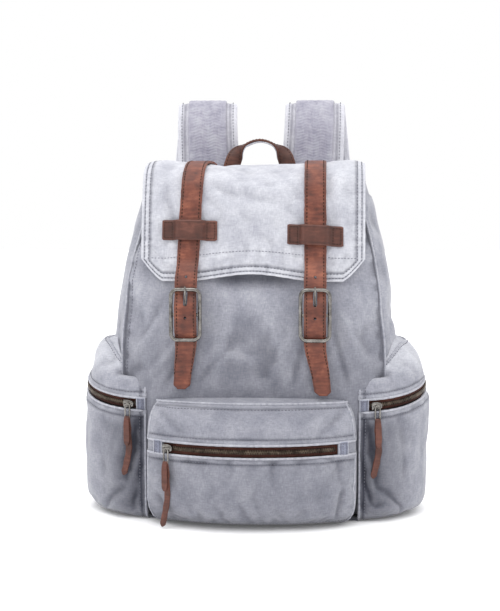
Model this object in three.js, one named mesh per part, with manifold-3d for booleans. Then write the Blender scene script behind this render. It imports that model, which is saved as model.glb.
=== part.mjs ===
// A canvas rucksack with a buckled flap, two wrap-round side pockets, a front pocket, a carry
// handle and two padded shoulder straps. Millimetres, +Z up. The front faces -Y, and the origin
// is under the middle of the whole bag, on the surface that it stands on.
import * as THREE from "three";
import { mergeVertices } from "three/addons/utils/BufferGeometryUtils.js";
import Module from "manifold-3d";

const wasm = await Module();
wasm.setup();

// ---- Driving dimensions ----
const GAP = 0.4; // clearance between neighbouring solids
const FRAME_Y = -5.13; // moves the finished bag, so that its box is centred on the origin

// The sack
const SACK = {
  mouth: 368, // height of the open rim in front
  backRise: 8, // how much higher it is at the sides and the back
  halfWidth: 157, // at the widest height
  widest: 140,
  foot: 141, // half width at the floor
  shoulder: 120, // half width at the rim
  front: -84, // foremost Y
  foremost: 130,
  frontFoot: -72,
  frontRim: -46,
  back: 72,
  edge: 16, // rounding above the floor
  frontPower: 3.4, // squareness of the plan outline
  backPower: 5.5,
  wall: 3,
};
const FRONT_SEAM = 60; // degrees from straight ahead to the seam between front and side
const BACK_SEAM = 47; // the same from straight back

// The flap: its outer face along the middle, from the back seam over the top and down the front
const FLAP_LINE = [
  [72.5, 379.5], [60, 385.5], [18, 388], [-25, 385.5], [-51, 374],
  [-63, 348], [-70, 315], [-76, 280], [-79, 262],
];
const FLAP = { halfWidth: 121, wall: 2.5, cornerCut: 24, arch: 8, sideSag: 10, dip: 3, ears: 12 };

// Leather closing straps
const STRAP = { width: 23.5, thick: 3, lift: 1.6, crownLift: 1.4 };
const BUCKLE = {
  z: 227.5, barY: -96.3, centreY: -94.5, wire: 4,
  width: 35, height: 58, corner: 9,
};
const STRAPS = [
  { side: "left", topX: -60, buckleX: -70, tailX: -75, tailZ: 147, keeperZ: 316,
    keeperTilt: 0.01 },
  { side: "right", topX: 66, buckleX: 68, tailX: 77, tailZ: 141, keeperZ: 311,
    keeperTilt: 0.05 },
];
const KEEPER = { width: 60, height: 22, thick: 2.5 };
const SNAP = { z: 206, radius: 8, stud: 1.8, socket: 2.2 };

// Pockets
const POCKET_WALL = 2.5;
const ZIP = { tape: 13, thick: 2, recess: 1.2 };
const FRONT_POCKET = {
  halfWidth: 113, top: 138, foot: 1.2, front: -134, arcRadius: 187, arcHalf: 95,
  anchorY: -70, zip: 87, cornerY: -88,
};
const SIDE_POCKET = {
  seamX: 114.5,
  centreX: 112, radius: 79, top: 192, frontTop: 153, foot: 1.5, back: 66, brow: 141.5,
  zip: 143.4, // the zip's height beside the middle of the bag
  zipTilt: 11, // degrees: the zip climbs from front to back
};
const SLIDER = { long: 12, high: 9 };
const TAB = { width: 6, length: 17, thick: 1.6 };
const THONG = { width: 7, thick: 2.4 };

// Carrying
const HANDLE = {
  width: 19, thick: 2.6, lining: 1.2,
  HALF: [[33, 78.2, 362], [34, 78.4, 374], [32.5, 79.2, 389], [23, 81, 406], [0, 82, 416]],
};
const PAD = { width: 70, foot: 58, thick: 7 };
const PAD_LINE = [
  [60, 82.2, 338], [60, 86.2, 352], [60.5, 89.8, 366], [62, 95.5, 400], [63.5, 100.5, 436],
  [64, 113.5, 459.5], [66, 131, 447],
  [71, 138, 405], [81, 137, 325], [94, 129, 235], [105, 113, 152],
];
const WEB = { face: 48, width: 25, thick: 1.6 };
const ANCHOR = [123, 77, 22]; // where a lower strap meets its corner tab

// ---- Geometry helpers ----
const { sin, cos, abs, sign, sqrt, asin, PI, min, max } = Math;
const lerp = THREE.MathUtils.lerp;
const smooth = THREE.MathUtils.smoothstep;
const rad = THREE.MathUtils.degToRad;
const V = (x, y, z) => new THREE.Vector3(x, y, z);
const power = (v, p) => sign(v) * abs(v) ** p;

// A closed geometry from vertices and triangles, turned so that its faces point out.
function closed(vertices, triangles) {
  let volume = 0;
  for (let i = 0; i < triangles.length; i += 3) {
    const [a, b, c] = [0, 1, 2].map((k) => vertices[triangles[i + k]]);
    volume += a.dot(b.clone().cross(c));
  }
  if (volume < 0) triangles.reverse();
  const geometry = new THREE.BufferGeometry().setFromPoints(vertices);
  return geometry.setIndex(triangles);
}

// A sheet of cloth or leather: point(u, v) is its outer face and the wall lies behind it.
function sheet(point, wall, across, along, out = null) {
  const outer = [];
  const inner = [];
  const step = 1e-3;
  for (let i = 0; i <= along; i++) {
    for (let j = 0; j <= across; j++) {
      const u = j / across;
      const v = i / along;
      const here = point(u, v);
      const du = point(min(u + step, 1), v).sub(point(max(u - step, 0), v));
      const dv = point(u, min(v + step, 1)).sub(point(u, max(v - step, 0)));
      const normal = out ? out(u, v) : du.cross(dv).normalize();
      outer.push(here);
      inner.push(here.clone().addScaledVector(normal, -wall));
    }
  }
  const vertices = [...outer, ...inner];
  const row = across + 1;
  const depth = outer.length;
  const triangles = [];
  const quad = (a, b, c, d) => triangles.push(a, b, c, a, c, d);
  for (let i = 0; i < along; i++) {
    for (let j = 0; j < across; j++) {
      const k = i * row + j;
      quad(k, k + 1, k + row + 1, k + row);
      quad(depth + k, depth + k + row, depth + k + row + 1, depth + k + 1);
    }
    const k = i * row;
    quad(k, k + row, depth + k + row, depth + k);
    const e = k + across;
    quad(e, depth + e, depth + e + row, e + row);
  }
  for (let j = 0; j < across; j++) {
    quad(j, depth + j, depth + j + 1, j + 1);
    const k = along * row + j;
    quad(k, k + 1, depth + k + 1, depth + k);
  }
  return closed(vertices, triangles);
}

// A solid lofted through rings of equal length, closed by a fan at each end.
function loft(rings) {
  const n = rings[0].length;
  const vertices = rings.flat();
  const triangles = [];
  for (let i = 0; i + 1 < rings.length; i++) {
    for (let j = 0; j < n; j++) {
      const a = i * n + j;
      const b = i * n + ((j + 1) % n);
      triangles.push(a, b, b + n, a, b + n, a + n);
    }
  }
  for (const [start, flip] of [[0, true], [(rings.length - 1) * n, false]]) {
    const middle = V(0, 0, 0);
    for (let j = 0; j < n; j++) middle.addScaledVector(vertices[start + j], 1 / n);
    const hub = vertices.push(middle) - 1;
    for (let j = 0; j < n; j++) {
      const [a, b] = [start + j, start + ((j + 1) % n)];
      triangles.push(...(flip ? [b, a, hub] : [a, b, hub]));
    }
  }
  return closed(vertices, triangles);
}

// A bar of round section along a closed or open line.
function wire(points, diameter, isClosed, steps, sides = 4) {
  const curve = new THREE.CatmullRomCurve3(points, isClosed, "catmullrom", 0.5);
  const section = new THREE.Shape();
  section.absarc(0, 0, diameter / 2, 0, 2 * PI);
  const options = { extrudePath: curve, steps, curveSegments: sides };
  return new THREE.ExtrudeGeometry(section, options);
}

function block(x0, x1, y0, y1, z0, z1) {
  const box = new THREE.BoxGeometry(x1 - x0, y1 - y0, z1 - z0);
  return box.translate((x0 + x1) / 2, (y0 + y1) / 2, (z0 + z1) / 2);
}

function solid(geometry) {
  const bare = geometry.index ? geometry.toNonIndexed() : geometry.clone();
  for (const name of Object.keys(bare.attributes)) {
    if (name !== "position") bare.deleteAttribute(name);
  }
  const merged = mergeVertices(bare, 1e-3);
  return new wasm.Manifold(
    new wasm.Mesh({
      numProp: 3,
      vertProperties: merged.attributes.position.array,
      triVerts: new Uint32Array(merged.index.array),
    }),
  );
}

function geometryOf(manifold) {
  const mesh = manifold.getMesh();
  const positions = new Float32Array(mesh.numVert * 3);
  for (let i = 0; i < mesh.numVert; i++) {
    const from = mesh.vertProperties.subarray(i * mesh.numProp, i * mesh.numProp + 3);
    positions.set(from, i * 3);
  }
  const geometry = new THREE.BufferGeometry();
  geometry.setAttribute("position", new THREE.BufferAttribute(positions, 3));
  return geometry.setIndex(new THREE.BufferAttribute(mesh.triVerts, 1));
}

const cut = (geometry, ...cutters) =>
  geometryOf(cutters.reduce((s, c) => s.subtract(solid(c)), solid(geometry)));

// ---- Materials ----
const material = (color, roughness, metalness = 0) =>
  new THREE.MeshStandardMaterial({ color, roughness, metalness });
const canvas = material(0x9c9da6, 0.95);
const paleCanvas = material(0xcfd0d8, 0.95);
const liningCloth = material(0x8d867c, 0.9);
const leather = material(0x7e4a36, 0.6);
const darkLeather = material(0x5b3a30, 0.6);
const nickel = material(0x7d7a74, 0.35, 1);
const brass = material(0x5a4a38, 0.45, 1);
const zipCloth = material(0x3a241e, 0.85);
const webbing = material(0x9a99a6, 0.9);
const board = material(0x6b6760, 0.8);
const foam = material(0xc9c6bf, 0.95);

const bag = new THREE.Group();
bag.position.y = FRAME_Y;

function add(name, geometry, finish) {
  const mesh = new THREE.Mesh(geometry, finish);
  mesh.name = name;
  bag.add(mesh);
  return mesh;
}

// ---- The sack ----
function halfWidth(z) {
  const [end, far] = z < SACK.widest ? [SACK.foot, 0] : [SACK.shoulder, SACK.mouth];
  return lerp(SACK.halfWidth, end, ((z - SACK.widest) / (far - SACK.widest)) ** 2);
}

function frontY(z) {
  const [end, far] = z < SACK.foremost ? [SACK.frontFoot, 0] : [SACK.frontRim, SACK.mouth];
  return lerp(SACK.front, end, ((z - SACK.foremost) / (far - SACK.foremost)) ** 2);
}

// How far the wall tucks in above the floor.
function tuck(z) {
  const d = max(SACK.edge - z, 0);
  return SACK.edge - sqrt(max(SACK.edge ** 2 - d ** 2, 0));
}

// A point of the sack's outer face. Angle 0 is +X and -90 degrees is straight ahead.
function sackPoint(angle, z, inset = 0, backInset = inset) {
  const a = halfWidth(z) - tuck(z) - inset;
  const front = frontY(z) + tuck(z) + inset;
  const back = SACK.back - tuck(z) - backInset;
  const p = 2 / (sin(angle) < 0 ? SACK.frontPower : SACK.backPower);
  return V(
    a * power(cos(angle), p),
    (front + back) / 2 + ((back - front) / 2) * power(sin(angle), p),
    z,
  );
}

const OUTLINE = 32; // points round the plan
const HEIGHTS = [5, 9, 14, 24, 60, 100, 145, 195, 245, 295, 335, SACK.mouth]; // rows of a wall

function sackLoft(heights, inset, backInset = inset) {
  return loft(heights.map((z) =>
    Array.from({ length: OUTLINE }, (_, j) =>
      sackPoint((2 * PI * j) / OUTLINE, z, inset, backInset))));
}

// The rim stands higher at the sides and the back than it does in front.
const rimZ = (angle) => SACK.mouth + SACK.backRise * (1 - smooth(-sin(angle), 0, 0.9));

function panel(from, to, across) {
  const slack = 0.25; // degrees, half the gap at a seam
  const rows = HEIGHTS.length - 1;
  return sheet(
    (u, v) => {
      const angle = rad(lerp(from + slack, to - slack, u));
      const k = min(Math.floor(v * rows), rows - 1);
      const z = lerp(HEIGHTS[k], HEIGHTS[k + 1], v * rows - k);
      const rise = (rimZ(angle) - SACK.mouth) * smooth(z, SACK.mouth - 60, SACK.mouth);
      return sackPoint(angle, z).setZ(z + rise);
    },
    SACK.wall, across, rows,
  );
}

const EYELET = { x: 15, z: 354, hole: 4, flange: 8, thick: 1 };

function eyelet() {
  const half = SACK.wall / 2 + 1;
  const profile = [
    [EYELET.hole, -half - EYELET.thick], [EYELET.flange, -half - EYELET.thick],
    [EYELET.flange, -half], [EYELET.hole + 1, -half], [EYELET.hole + 1, half],
    [EYELET.flange, half], [EYELET.flange, half + EYELET.thick],
    [EYELET.hole, half + EYELET.thick], [EYELET.hole, -half - EYELET.thick],
  ].map(([r, y]) => new THREE.Vector2(r, y));
  return new THREE.LatheGeometry(profile, 16);
}

function addSack() {
  const ahead = -90;
  const slope = Math.atan2(frontY(EYELET.z + 1) - frontY(EYELET.z - 1), 2);
  const middle = frontY(EYELET.z) + SACK.wall / 2;
  const holes = [-1, 1].map((s) => {
    const drill = new THREE.CylinderGeometry(EYELET.hole + 1.4, EYELET.hole + 1.4, 16, 24);
    return drill.rotateX(-slope).translate(s * EYELET.x, middle + 0.4, EYELET.z);
  });
  const front = panel(ahead - FRONT_SEAM, ahead + FRONT_SEAM, 14);
  add("front_panel", cut(front, ...holes), canvas);
  for (const [i, side] of ["left", "right"].entries()) {
    const ring = add("eyelet_" + side, eyelet(), brass);
    ring.rotation.x = -slope;
    ring.position.set((i ? 1 : -1) * EYELET.x, middle + 0.4, EYELET.z);
  }
  const right = [ahead + FRONT_SEAM, 90 - BACK_SEAM];
  add("side_panel_right", panel(...right, 5), canvas);
  add("side_panel_left", panel(180 - right[1], 180 - right[0], 5), canvas);
  add("back_panel", panel(90 - BACK_SEAM, 90 + BACK_SEAM, 8), canvas);

  const ring = (z, inset) =>
    Array.from({ length: OUTLINE }, (_, j) => sackPoint((2 * PI * j) / OUTLINE, z, inset));
  add("base_panel", loft([ring(0, 0), ring(1.6, 0), ring(4.6, 0.6)]), canvas);

  const lining = cut(
    sackLoft([9, 24, 100, 195, 280, 342], SACK.wall + 3.5, SACK.wall + 11.5),
    sackLoft([10.2, 24, 100, 195, 280, 350], SACK.wall + 4.7, SACK.wall + 12.7),
  );
  add("lining", lining, liningCloth);
  const boardRing = (z) =>
    Array.from({ length: OUTLINE }, (_, j) =>
      sackPoint((2 * PI * j) / OUTLINE, 12, 8.5).setZ(z));
  add("base_board", loft([boardRing(5.4), boardRing(7.6)]), board);
  const foamBack = SACK.back - SACK.wall - 3;
  add("back_foam", block(-92, 92, foamBack - 6.5, foamBack, 26, SACK.mouth - 40), foam);
}

// ---- The flap and what is sewn to it ----
const flapCurve = new THREE.CatmullRomCurve3(
  FLAP_LINE.map(([y, z]) => V(0, y, z)), false, "centripetal",
);

// A point of the flap's outer face: across runs -1 to 1, down runs 0 (back seam) to 1 (hem).
function flapPoint(across, down) {
  const on = flapCurve.getPointAt(min(max(down, 0), 1));
  const fall = smooth(down, 0.28, 0.62);
  const lip = smooth(down, 0, 0.12);
  on.y += FLAP.sideSag * fall * abs(across) ** 3.4;
  on.z += (1 - fall) * lip * (FLAP.ears * abs(across) ** 2.4 - FLAP.dip - 8 * abs(across) ** 12);
  on.x = across * FLAP.halfWidth;
  return on;
}

// The hem: arched in the middle and cut off at the corners.
function hemLine(across) {
  const length = flapCurve.getLength();
  const corner = max(abs(across) - 0.8, 0) / 0.2;
  const arch = FLAP.arch * (1 - smooth(abs(across), 0, 0.62));
  return 1 - (arch + FLAP.cornerCut * corner ** 1.3) / length;
}

function addFlap() {
  const outer = (u, v) => {
    const across = lerp(1, -1, u);
    return flapPoint(across, v * hemLine(across));
  };
  add("flap", sheet(outer, FLAP.wall, 16, 15), paleCanvas);
}

// The outward normal of the flap's middle line.
function flapNormal(down) {
  const t = flapCurve.getTangentAt(min(max(down, 0), 1));
  return V(0, t.z, -t.y).normalize();
}

// The middle line of a closing strap's leather, in Y and Z, from the flap's top to its tip.
function strapLine(s) {
  const points = [];
  for (const down of [0.06, 0.14, 0.24, 0.33, 0.4, 0.47, 0.54, 0.64, 0.76, 0.9]) {
    const x = lerp(s.topX, s.buckleX, down);
    const on = flapPoint(x / FLAP.halfWidth, down);
    const height = lerp(STRAP.crownLift, STRAP.lift, smooth(down, 0.2, 0.6)) + STRAP.thick / 2;
    points.push(on.addScaledVector(flapNormal(down), height).setX(x));
  }
  const { z, barY, centreY } = BUCKLE;
  const under = barY + BUCKLE.wire / 2 + 0.5 + STRAP.thick / 2;
  const over = centreY - 6;
  const through = [
    [-88, z + 38], [under, z + 27.5], [under - 1.2, z + 21.5], [over + 2.2, z + 10],
    [over, z], [over + 2.2, z - 10], [under - 1.2, z - 21.5], [under, z - 27.5],
    [under + 1, z - 38], [-90.4, lerp(z - 38, s.tailZ, 0.5)], [-91, s.tailZ],
  ];
  for (const [y, height_] of through) {
    const below = smooth(z - 29 - height_, 0, z - 29 - s.tailZ);
    points.push(V(lerp(s.buckleX, s.tailX, below), y, height_));
  }
  return new THREE.CatmullRomCurve3(points, false, "centripetal");
}

// A flat strip along a line. Its width lies along X, and the line is its outer face.
function strip(line, width, wall, steps, across = 1, tip = 0) {
  return sheet(
    (u, v) => {
      const taper = 1 - tip * smooth(v, 0.93, 1);
      return line.getPointAt(v).add(V((u - 0.5) * width * taper, 0, 0));
    },
    wall, across, steps,
    (u, v) => {
      const t = line.getTangentAt(v);
      return V(0, t.z, -t.y).normalize();
    },
  );
}

// The same line moved out by a distance along its own normal in the YZ plane.
function offsetLine(line, distance, from = 0, to = 1, count = 40) {
  const points = [];
  for (let i = 0; i <= count; i++) {
    const v = lerp(from, to, i / count);
    const t = line.getTangentAt(v);
    points.push(line.getPointAt(v).addScaledVector(V(0, t.z, -t.y).normalize(), distance));
  }
  return new THREE.CatmullRomCurve3(points, false, "centripetal");
}

// How far down the flap's front face a height lies.
function flapDown(z) {
  let down = 1;
  while (flapCurve.getPointAt(down).z < z) down -= 0.002;
  return down;
}

function buckleFrame(x) {
  const w = (BUCKLE.width - BUCKLE.wire) / 2;
  const h = (BUCKLE.height - BUCKLE.wire) / 2;
  const c = BUCKLE.corner;
  const outline = new THREE.Path();
  outline.moveTo(-w + c, -h).lineTo(w - c, -h).quadraticCurveTo(w, -h, w, -h + c);
  outline.lineTo(w, h - c).quadraticCurveTo(w, h, w - c, h);
  outline.lineTo(-w + c, h).quadraticCurveTo(-w, h, -w, h - c);
  outline.lineTo(-w, -h + c).quadraticCurveTo(-w, -h, -w + c, -h);
  const points = outline.getSpacedPoints(32).slice(0, -1);
  const loop = points.map((p) => V(x + p.x, BUCKLE.barY, BUCKLE.z + p.y));
  const rim = wire(loop, BUCKLE.wire, true, 32, 3);
  const bar = new THREE.CylinderGeometry(1.9, 1.9, 2 * w, 10).rotateZ(PI / 2);
  bar.translate(x, BUCKLE.centreY, BUCKLE.z);
  return geometryOf(solid(rim).add(solid(bar)));
}

// The prong: an eye round the centre bar, then a pin that comes up through the strap.
function prong(x) {
  const { centreY: y, z } = BUCKLE;
  const eye = new THREE.Shape();
  eye.absarc(0, 0, 3.8, 0, 2 * PI);
  const hole = new THREE.Path();
  hole.absarc(0, 0, 2.3, 0, 2 * PI, true);
  eye.holes.push(hole);
  const ring = new THREE.ExtrudeGeometry(eye, { depth: 3, bevelEnabled: false, curveSegments: 8 });
  ring.rotateY(PI / 2).translate(x - 1.5, y, z);
  const pin = wire(
    [
      V(x, y + 0.4, z + 3.2), V(x, y - 0.2, z + 9), V(x, y - 0.9, z + 14),
      V(x, y - 2.7, z + 19), V(x, y - 5.1, z + 23.5), V(x, y - 5.7, z + 27), V(x, y - 5.5, z + 30.5),
    ],
    2.4, false, 8, 3,
  );
  return geometryOf(solid(ring).add(solid(pin)));
}

// The chape: leather folded round the centre bar, with a slot for the prong's eye.
function chape(x) {
  const { centreY: y, z } = BUCKLE;
  const foot = SNAP.z - 10;
  const loopLine = [
    [8.75, foot], [8.75, SNAP.z], [7.9, 214], [5.3, 221], [3.2, 226.5], [1.9, 230.2],
    [-0.4, 231], [-2.7, 229.4], [-3.2, 226.8], [-1.5, 224.2], [1.9, 221.6],
    [4.1, 216.5], [6.1, 210], [6.95, 204], [6.95, foot],
  ].map(([dy, height]) => V(x, y + dy, height + (height > 209 ? z - 227.5 : 0)));
  const line = new THREE.CatmullRomCurve3(loopLine, false, "centripetal");
  const across = (v) => {
    const t = line.getTangentAt(v);
    return V(0, t.z, -t.y).normalize();
  };
  const leatherLoop = sheet(
    (u, v) => line.getPointAt(v).add(V((u - 0.5) * 22, 0, 0)).addScaledVector(across(v), 0.75),
    1.5, 1, 24, (u, v) => across(v),
  );
  const slot = block(x - 2.6, x + 2.6, y - 9, y + 9, z - 5.4, z + 9);
  return cut(leatherLoop, slot);
}

function addClosure(s) {
  const middle = strapLine(s);
  const face = offsetLine(middle, STRAP.thick / 2, 0, 1, 60);
  const prongHole = block(
    s.buckleX - 2.4, s.buckleX + 2.4, -108, -84, BUCKLE.z + 9, BUCKLE.z + 26.5,
  );
  const band = strip(face, STRAP.width, STRAP.thick, 44, 1, 0.35);
  add("closing_strap_" + s.side, cut(band, prongHole), leather);

  const seat = flapDown(s.keeperZ);
  const keeperX = lerp(s.topX, s.buckleX, seat);
  const half = KEEPER.width / 2;
  const rise = STRAP.lift + STRAP.thick + 4 * GAP;
  const keeper = sheet(
    (u, w) => {
      const x = lerp(half, -half, u);
      const over = 1 - smooth(abs(x), STRAP.width / 2 + 0.5, STRAP.width / 2 + 7);
      const down = seat + ((w - 0.5) * KEEPER.height + s.keeperTilt * x) / flapCurve.getLength();
      const on = flapPoint((keeperX + x) / FLAP.halfWidth, down);
      return on.addScaledVector(flapNormal(down), KEEPER.thick + 0.8 + (rise - 0.8) * over);
    },
    KEEPER.thick, 20, 2,
  );
  add("strap_keeper_" + s.side, keeper, darkLeather);

  add("buckle_frame_" + s.side, buckleFrame(s.buckleX), nickel);
  add("buckle_prong_" + s.side, prong(s.buckleX), nickel);
  add("buckle_chape_" + s.side, chape(s.buckleX), leather);

  // Magnetic snap: the stud on the chape and the socket on the sack.
  const front = BUCKLE.centreY + 9.5 + GAP;
  for (const [name, y, thick] of [
    ["snap_stud_", front, SNAP.stud],
    ["snap_socket_", front + SNAP.stud + GAP, SNAP.socket],
  ]) {
    const disc = new THREE.CylinderGeometry(SNAP.radius, SNAP.radius, thick, 20);
    const mesh = add(name + s.side, disc, nickel);
    mesh.position.set(s.buckleX, y + thick / 2, SNAP.z - 1);
  }
}

// ---- Pockets ----
// The sack's outside with a little room round it, taken out of each pocket.
const sackRoom = solid(sackLoft([-2, 0, 1.6, 4.6, ...HEIGHTS.slice(1, 9)], -1.1));

// A pouch wall: the outline at each height, less its hollow and less the sack behind it.
function pouch(outline, foot, top, levels) {
  const skin = (t) => {
    const rings = [];
    for (let i = 0; i <= levels; i++) {
      const z = lerp(foot + t, top - t, (1 - cos((PI * i) / levels)) / 2);
      rings.push(outline(z, t));
    }
    return solid(loft(rings));
  };
  return skin(0).subtract(skin(POCKET_WALL)).subtract(sackRoom);
}

// Takes a side pocket back to its seam beside the front pocket.
const frontRoom = solid(block(-SIDE_POCKET.seamX, SIDE_POCKET.seamX, -200, -30, -5, 300));

function between(shape, z0, z1) {
  return shape.intersect(solid(block(-300, 300, -300, 300, z0, z1)));
}

// The same, measured up from the side zips' own sloping plane.
function besideZip(shape, z0, z1) {
  const room = block(-300, 300, -300, 300, z0, z1).rotateX(rad(SIDE_POCKET.zipTilt));
  return shape.intersect(solid(room.translate(0, 0, SIDE_POCKET.zip)));
}

// How full a pocket is at a height: 1 in the middle, closing over at the foot and the top.
function fullness(z, foot, top, lowPower, highPower) {
  const middle = (foot + top) / 2;
  const half = (top - foot) / 2 + 0.6;
  const t = abs(z - middle) / half;
  return (1 - t ** (z < middle ? lowPower : highPower)) ** 0.45;
}

function frontOutline(z, t) {
  const f = FRONT_POCKET;
  const full = fullness(z, f.foot, f.top, 7, 4);
  const arcY = f.front + f.arcRadius;
  const a = asin(f.arcHalf / f.arcRadius);
  const endY = arcY - f.arcRadius * cos(a);
  const bend = endY + (f.halfWidth - f.arcHalf) * Math.tan(a);
  const path = new THREE.Path();
  path.moveTo(-f.halfWidth, -56).lineTo(-f.halfWidth, f.cornerY);
  path.quadraticCurveTo(-f.halfWidth, bend, -f.arcHalf, endY);
  path.absarc(0, arcY, f.arcRadius, -PI / 2 - a, -PI / 2 + a, false);
  path.quadraticCurveTo(f.halfWidth, bend, f.halfWidth, f.cornerY);
  path.lineTo(f.halfWidth, -56);
  const across = lerp(0.78, 1, full) - t / f.halfWidth;
  const deep = full - t / (f.anchorY - f.front);
  return path.getPoints(6).map((p) =>
    V(p.x * across, f.anchorY + (p.y - f.anchorY) * max(deep, 0.08), z));
}

// The top of a side pocket rises from its front seam to the middle of the bag's side.
function sideTop(a) {
  return lerp(SIDE_POCKET.frontTop, SIDE_POCKET.top, smooth(a, -1.45, -0.35));
}

function sideOutline(sideways) {
  return (z, t) => {
    const s = SIDE_POCKET;
    const full = fullness(z, s.foot, s.top, 8, 3.2);
    const r = s.radius - t;
    const { brow } = s;
    const height = (a) =>
      z < brow ? z : brow + ((z - brow) * (sideTop(a) - t - brow)) / (s.top - t - brow);
    const points = [];
    const count = 18;
    for (let i = 0; i <= count; i++) {
      const a = lerp(-PI / 2 - 0.1, PI / 2 + 0.1, i / count);
      const x = s.centreX - 24 + (24 + r * cos(a)) * lerp(0.72, 1, full);
      points.push(V(x, min(r * sin(a) * lerp(0.8, 1, full), s.back - t), height(a)));
    }
    points.push(V(s.centreX - 60, s.back - t, height(PI / 2)));
    points.push(V(s.centreX - 60, -(s.radius - 12), height(-PI / 2)));
    for (const p of points) p.x *= sideways;
    return points;
  };
}

// A place on a zip's arc: out from its centre at an angle, and up from its plane, which climbs
// towards the back by its tilt.
function onArc(centre, out, angle, z, tilt, up = 0) {
  const along = out * sin(angle);
  return V(
    centre[0] + out * cos(angle),
    centre[1] + along * cos(tilt) - up * sin(tilt),
    z + along * sin(tilt) + up * cos(tilt),
  );
}

// A curved strip of zip: tape with a raised row of teeth down its middle.
function zipChain(centre, radius, from, to, z, tilt = 0) {
  const steps = 20;
  const raise = 1.2;
  const half = ZIP.tape / 2 - GAP;
  const profile = [
    [-ZIP.thick, -half], [0, -half], [0, -2.6], [raise, -2.6],
    [raise, 2.6], [0, 2.6], [0, half], [-ZIP.thick, half],
  ];
  const rings = [];
  for (let i = 0; i <= steps; i++) {
    const a = lerp(from, to, i / steps);
    rings.push(profile.map(([out, up]) => onArc(centre, radius + out, a, z, tilt, up)));
  }
  return loft(rings);
}

// Slider, tab and thong at an angle on a zip's arc. They hang straight down.
function addPull(name, centre, radius, angle, z, thongLength, tilt = 0) {
  const seat = new THREE.Group();
  seat.position.copy(onArc(centre, radius, angle, z, tilt));
  seat.rotation.z = angle; // local X points out of the pocket
  bag.add(seat);
  const place = (part, geometry, finish, x, height) => {
    const mesh = new THREE.Mesh(geometry, finish);
    mesh.name = name + part;
    mesh.position.set(x, 0, height);
    seat.add(mesh);
    return mesh;
  };
  const start = ZIP.recess * -1 + 1.2 + GAP;
  const box = new THREE.BoxGeometry(3, SLIDER.long, SLIDER.high);
  const slider = place("_zip_slider", box, brass, start + 1.5, 0);
  slider.rotation.x = Math.atan(Math.tan(tilt) * cos(angle)); // it lies along its zip
  const tabX = start + 3 + GAP + TAB.thick / 2;
  const tab = new THREE.BoxGeometry(TAB.thick, TAB.width, TAB.length);
  place("_zip_tab", tab, brass, tabX, -TAB.length / 2 + 0.4);
  const hang = new THREE.CatmullRomCurve3([
    V(0.8, 0, 1.5), V(0.9, 0.6, -12), V(0.6, 1.6, -thongLength * 0.5),
    V(0.7, -1.5, -thongLength * 0.78), V(0.8, -5, -thongLength),
  ], false, "centripetal");
  const thong = sheet(
    (u, v) => hang.getPointAt(v).add(V(THONG.thick / 2, (u - 0.5) * THONG.width, 0)),
    THONG.thick, 1, 12, () => V(1, 0, 0),
  );
  place("_zip_thong", thong, darkLeather, tabX, -TAB.length - 1.5);
}

function addFrontPocket() {
  const f = FRONT_POCKET;
  const shape = pouch(frontOutline, f.foot, f.top, 11);
  const slot = ZIP.tape / 2;
  add("front_pocket_top", geometryOf(largest(between(shape, f.zip + slot, f.top + 1))), canvas);
  add("front_pocket_bag", geometryOf(largest(between(shape, 0, f.zip - slot))), canvas);
  const centre = [0, f.front + f.arcRadius];
  const a = asin(f.arcHalf / f.arcRadius);
  const radius = f.arcRadius - ZIP.recess;
  const chain = zipChain(centre, radius, -PI / 2 - a, -PI / 2 + a, f.zip);
  add("front_zip_chain", chain, zipCloth);
  addPull("front", centre, f.arcRadius + 0.4, -PI / 2 - a + 0.05, f.zip, 66);
}

function addSidePocket(side, sideways) {
  const s = SIDE_POCKET;
  const shape = pouch(sideOutline(sideways), s.foot, s.top, 12).subtract(frontRoom);
  const slot = ZIP.tape / 2;
  const low = besideZip(shape, -250, -slot);
  const high = besideZip(shape, slot, 250);
  add("side_pocket_top_" + side, geometryOf(largest(high)), canvas);
  add("side_pocket_bag_" + side, geometryOf(largest(low)), canvas);
  const right = [-84, 50].map(rad);
  const [from, to] = sideways > 0 ? right : right.map((a) => PI - a);
  const centre = [sideways * s.centreX, 0];
  const radius = s.radius - ZIP.recess + 0.3;
  const tilt = rad(s.zipTilt);
  add("side_zip_chain_" + side, zipChain(centre, radius, from, to, s.zip, tilt), zipCloth);
  const at = sideways > 0 ? rad(-74) : PI - rad(-74);
  addPull(side, centre, s.radius + 1.1, at, s.zip, 60, tilt);
}

const largest = (shape) =>
  shape.decompose().reduce((a, b) => (b.volume() > a.volume() ? b : a));

// ---- Handle, shoulder straps and their fittings ----
const handleLine = new THREE.CatmullRomCurve3(
  [-1, 1].flatMap((s) => {
    const half = HANDLE.HALF.map(([x, y, z]) => V(s * x, y, z));
    return s < 0 ? half : half.slice(0, -1).reverse();
  }), false, "centripetal",
);

// The strip lies flat against the bag at its feet and turns a quarter turn to the grip.
function handleFrame(v) {
  const t = handleLine.getTangentAt(v);
  const out = V(-t.z, 0, t.x).normalize();
  const turn = (PI / 2) * (1 - smooth(abs(v - 0.5), 0.1, 0.3));
  return {
    centre: handleLine.getPointAt(v),
    face: V(out.x * sin(turn), -cos(turn), out.z * sin(turn)),
    wide: V(out.x * cos(turn), sin(turn), out.z * cos(turn)),
  };
}

function addHandle() {
  const layer = (lift, wall) =>
    sheet(
      (u, v) => {
        const f = handleFrame(v);
        const aside = (u - 0.5) * HANDLE.width;
        return f.centre.addScaledVector(f.wide, aside).addScaledVector(f.face, lift);
      },
      wall, 1, 24, (u, v) => handleFrame(v).face,
    );
  add("handle_leather", layer(HANDLE.thick, HANDLE.thick), leather);
  add("handle_lining", layer(-GAP, HANDLE.lining), webbing);
}

// The line of a shoulder strap's pad, and which way it faces at each point.
function padLine(sideways) {
  const points = PAD_LINE.map(([x, y, z]) => V(x * sideways, y, z));
  return new THREE.CatmullRomCurve3(points, false, "centripetal");
}

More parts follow.
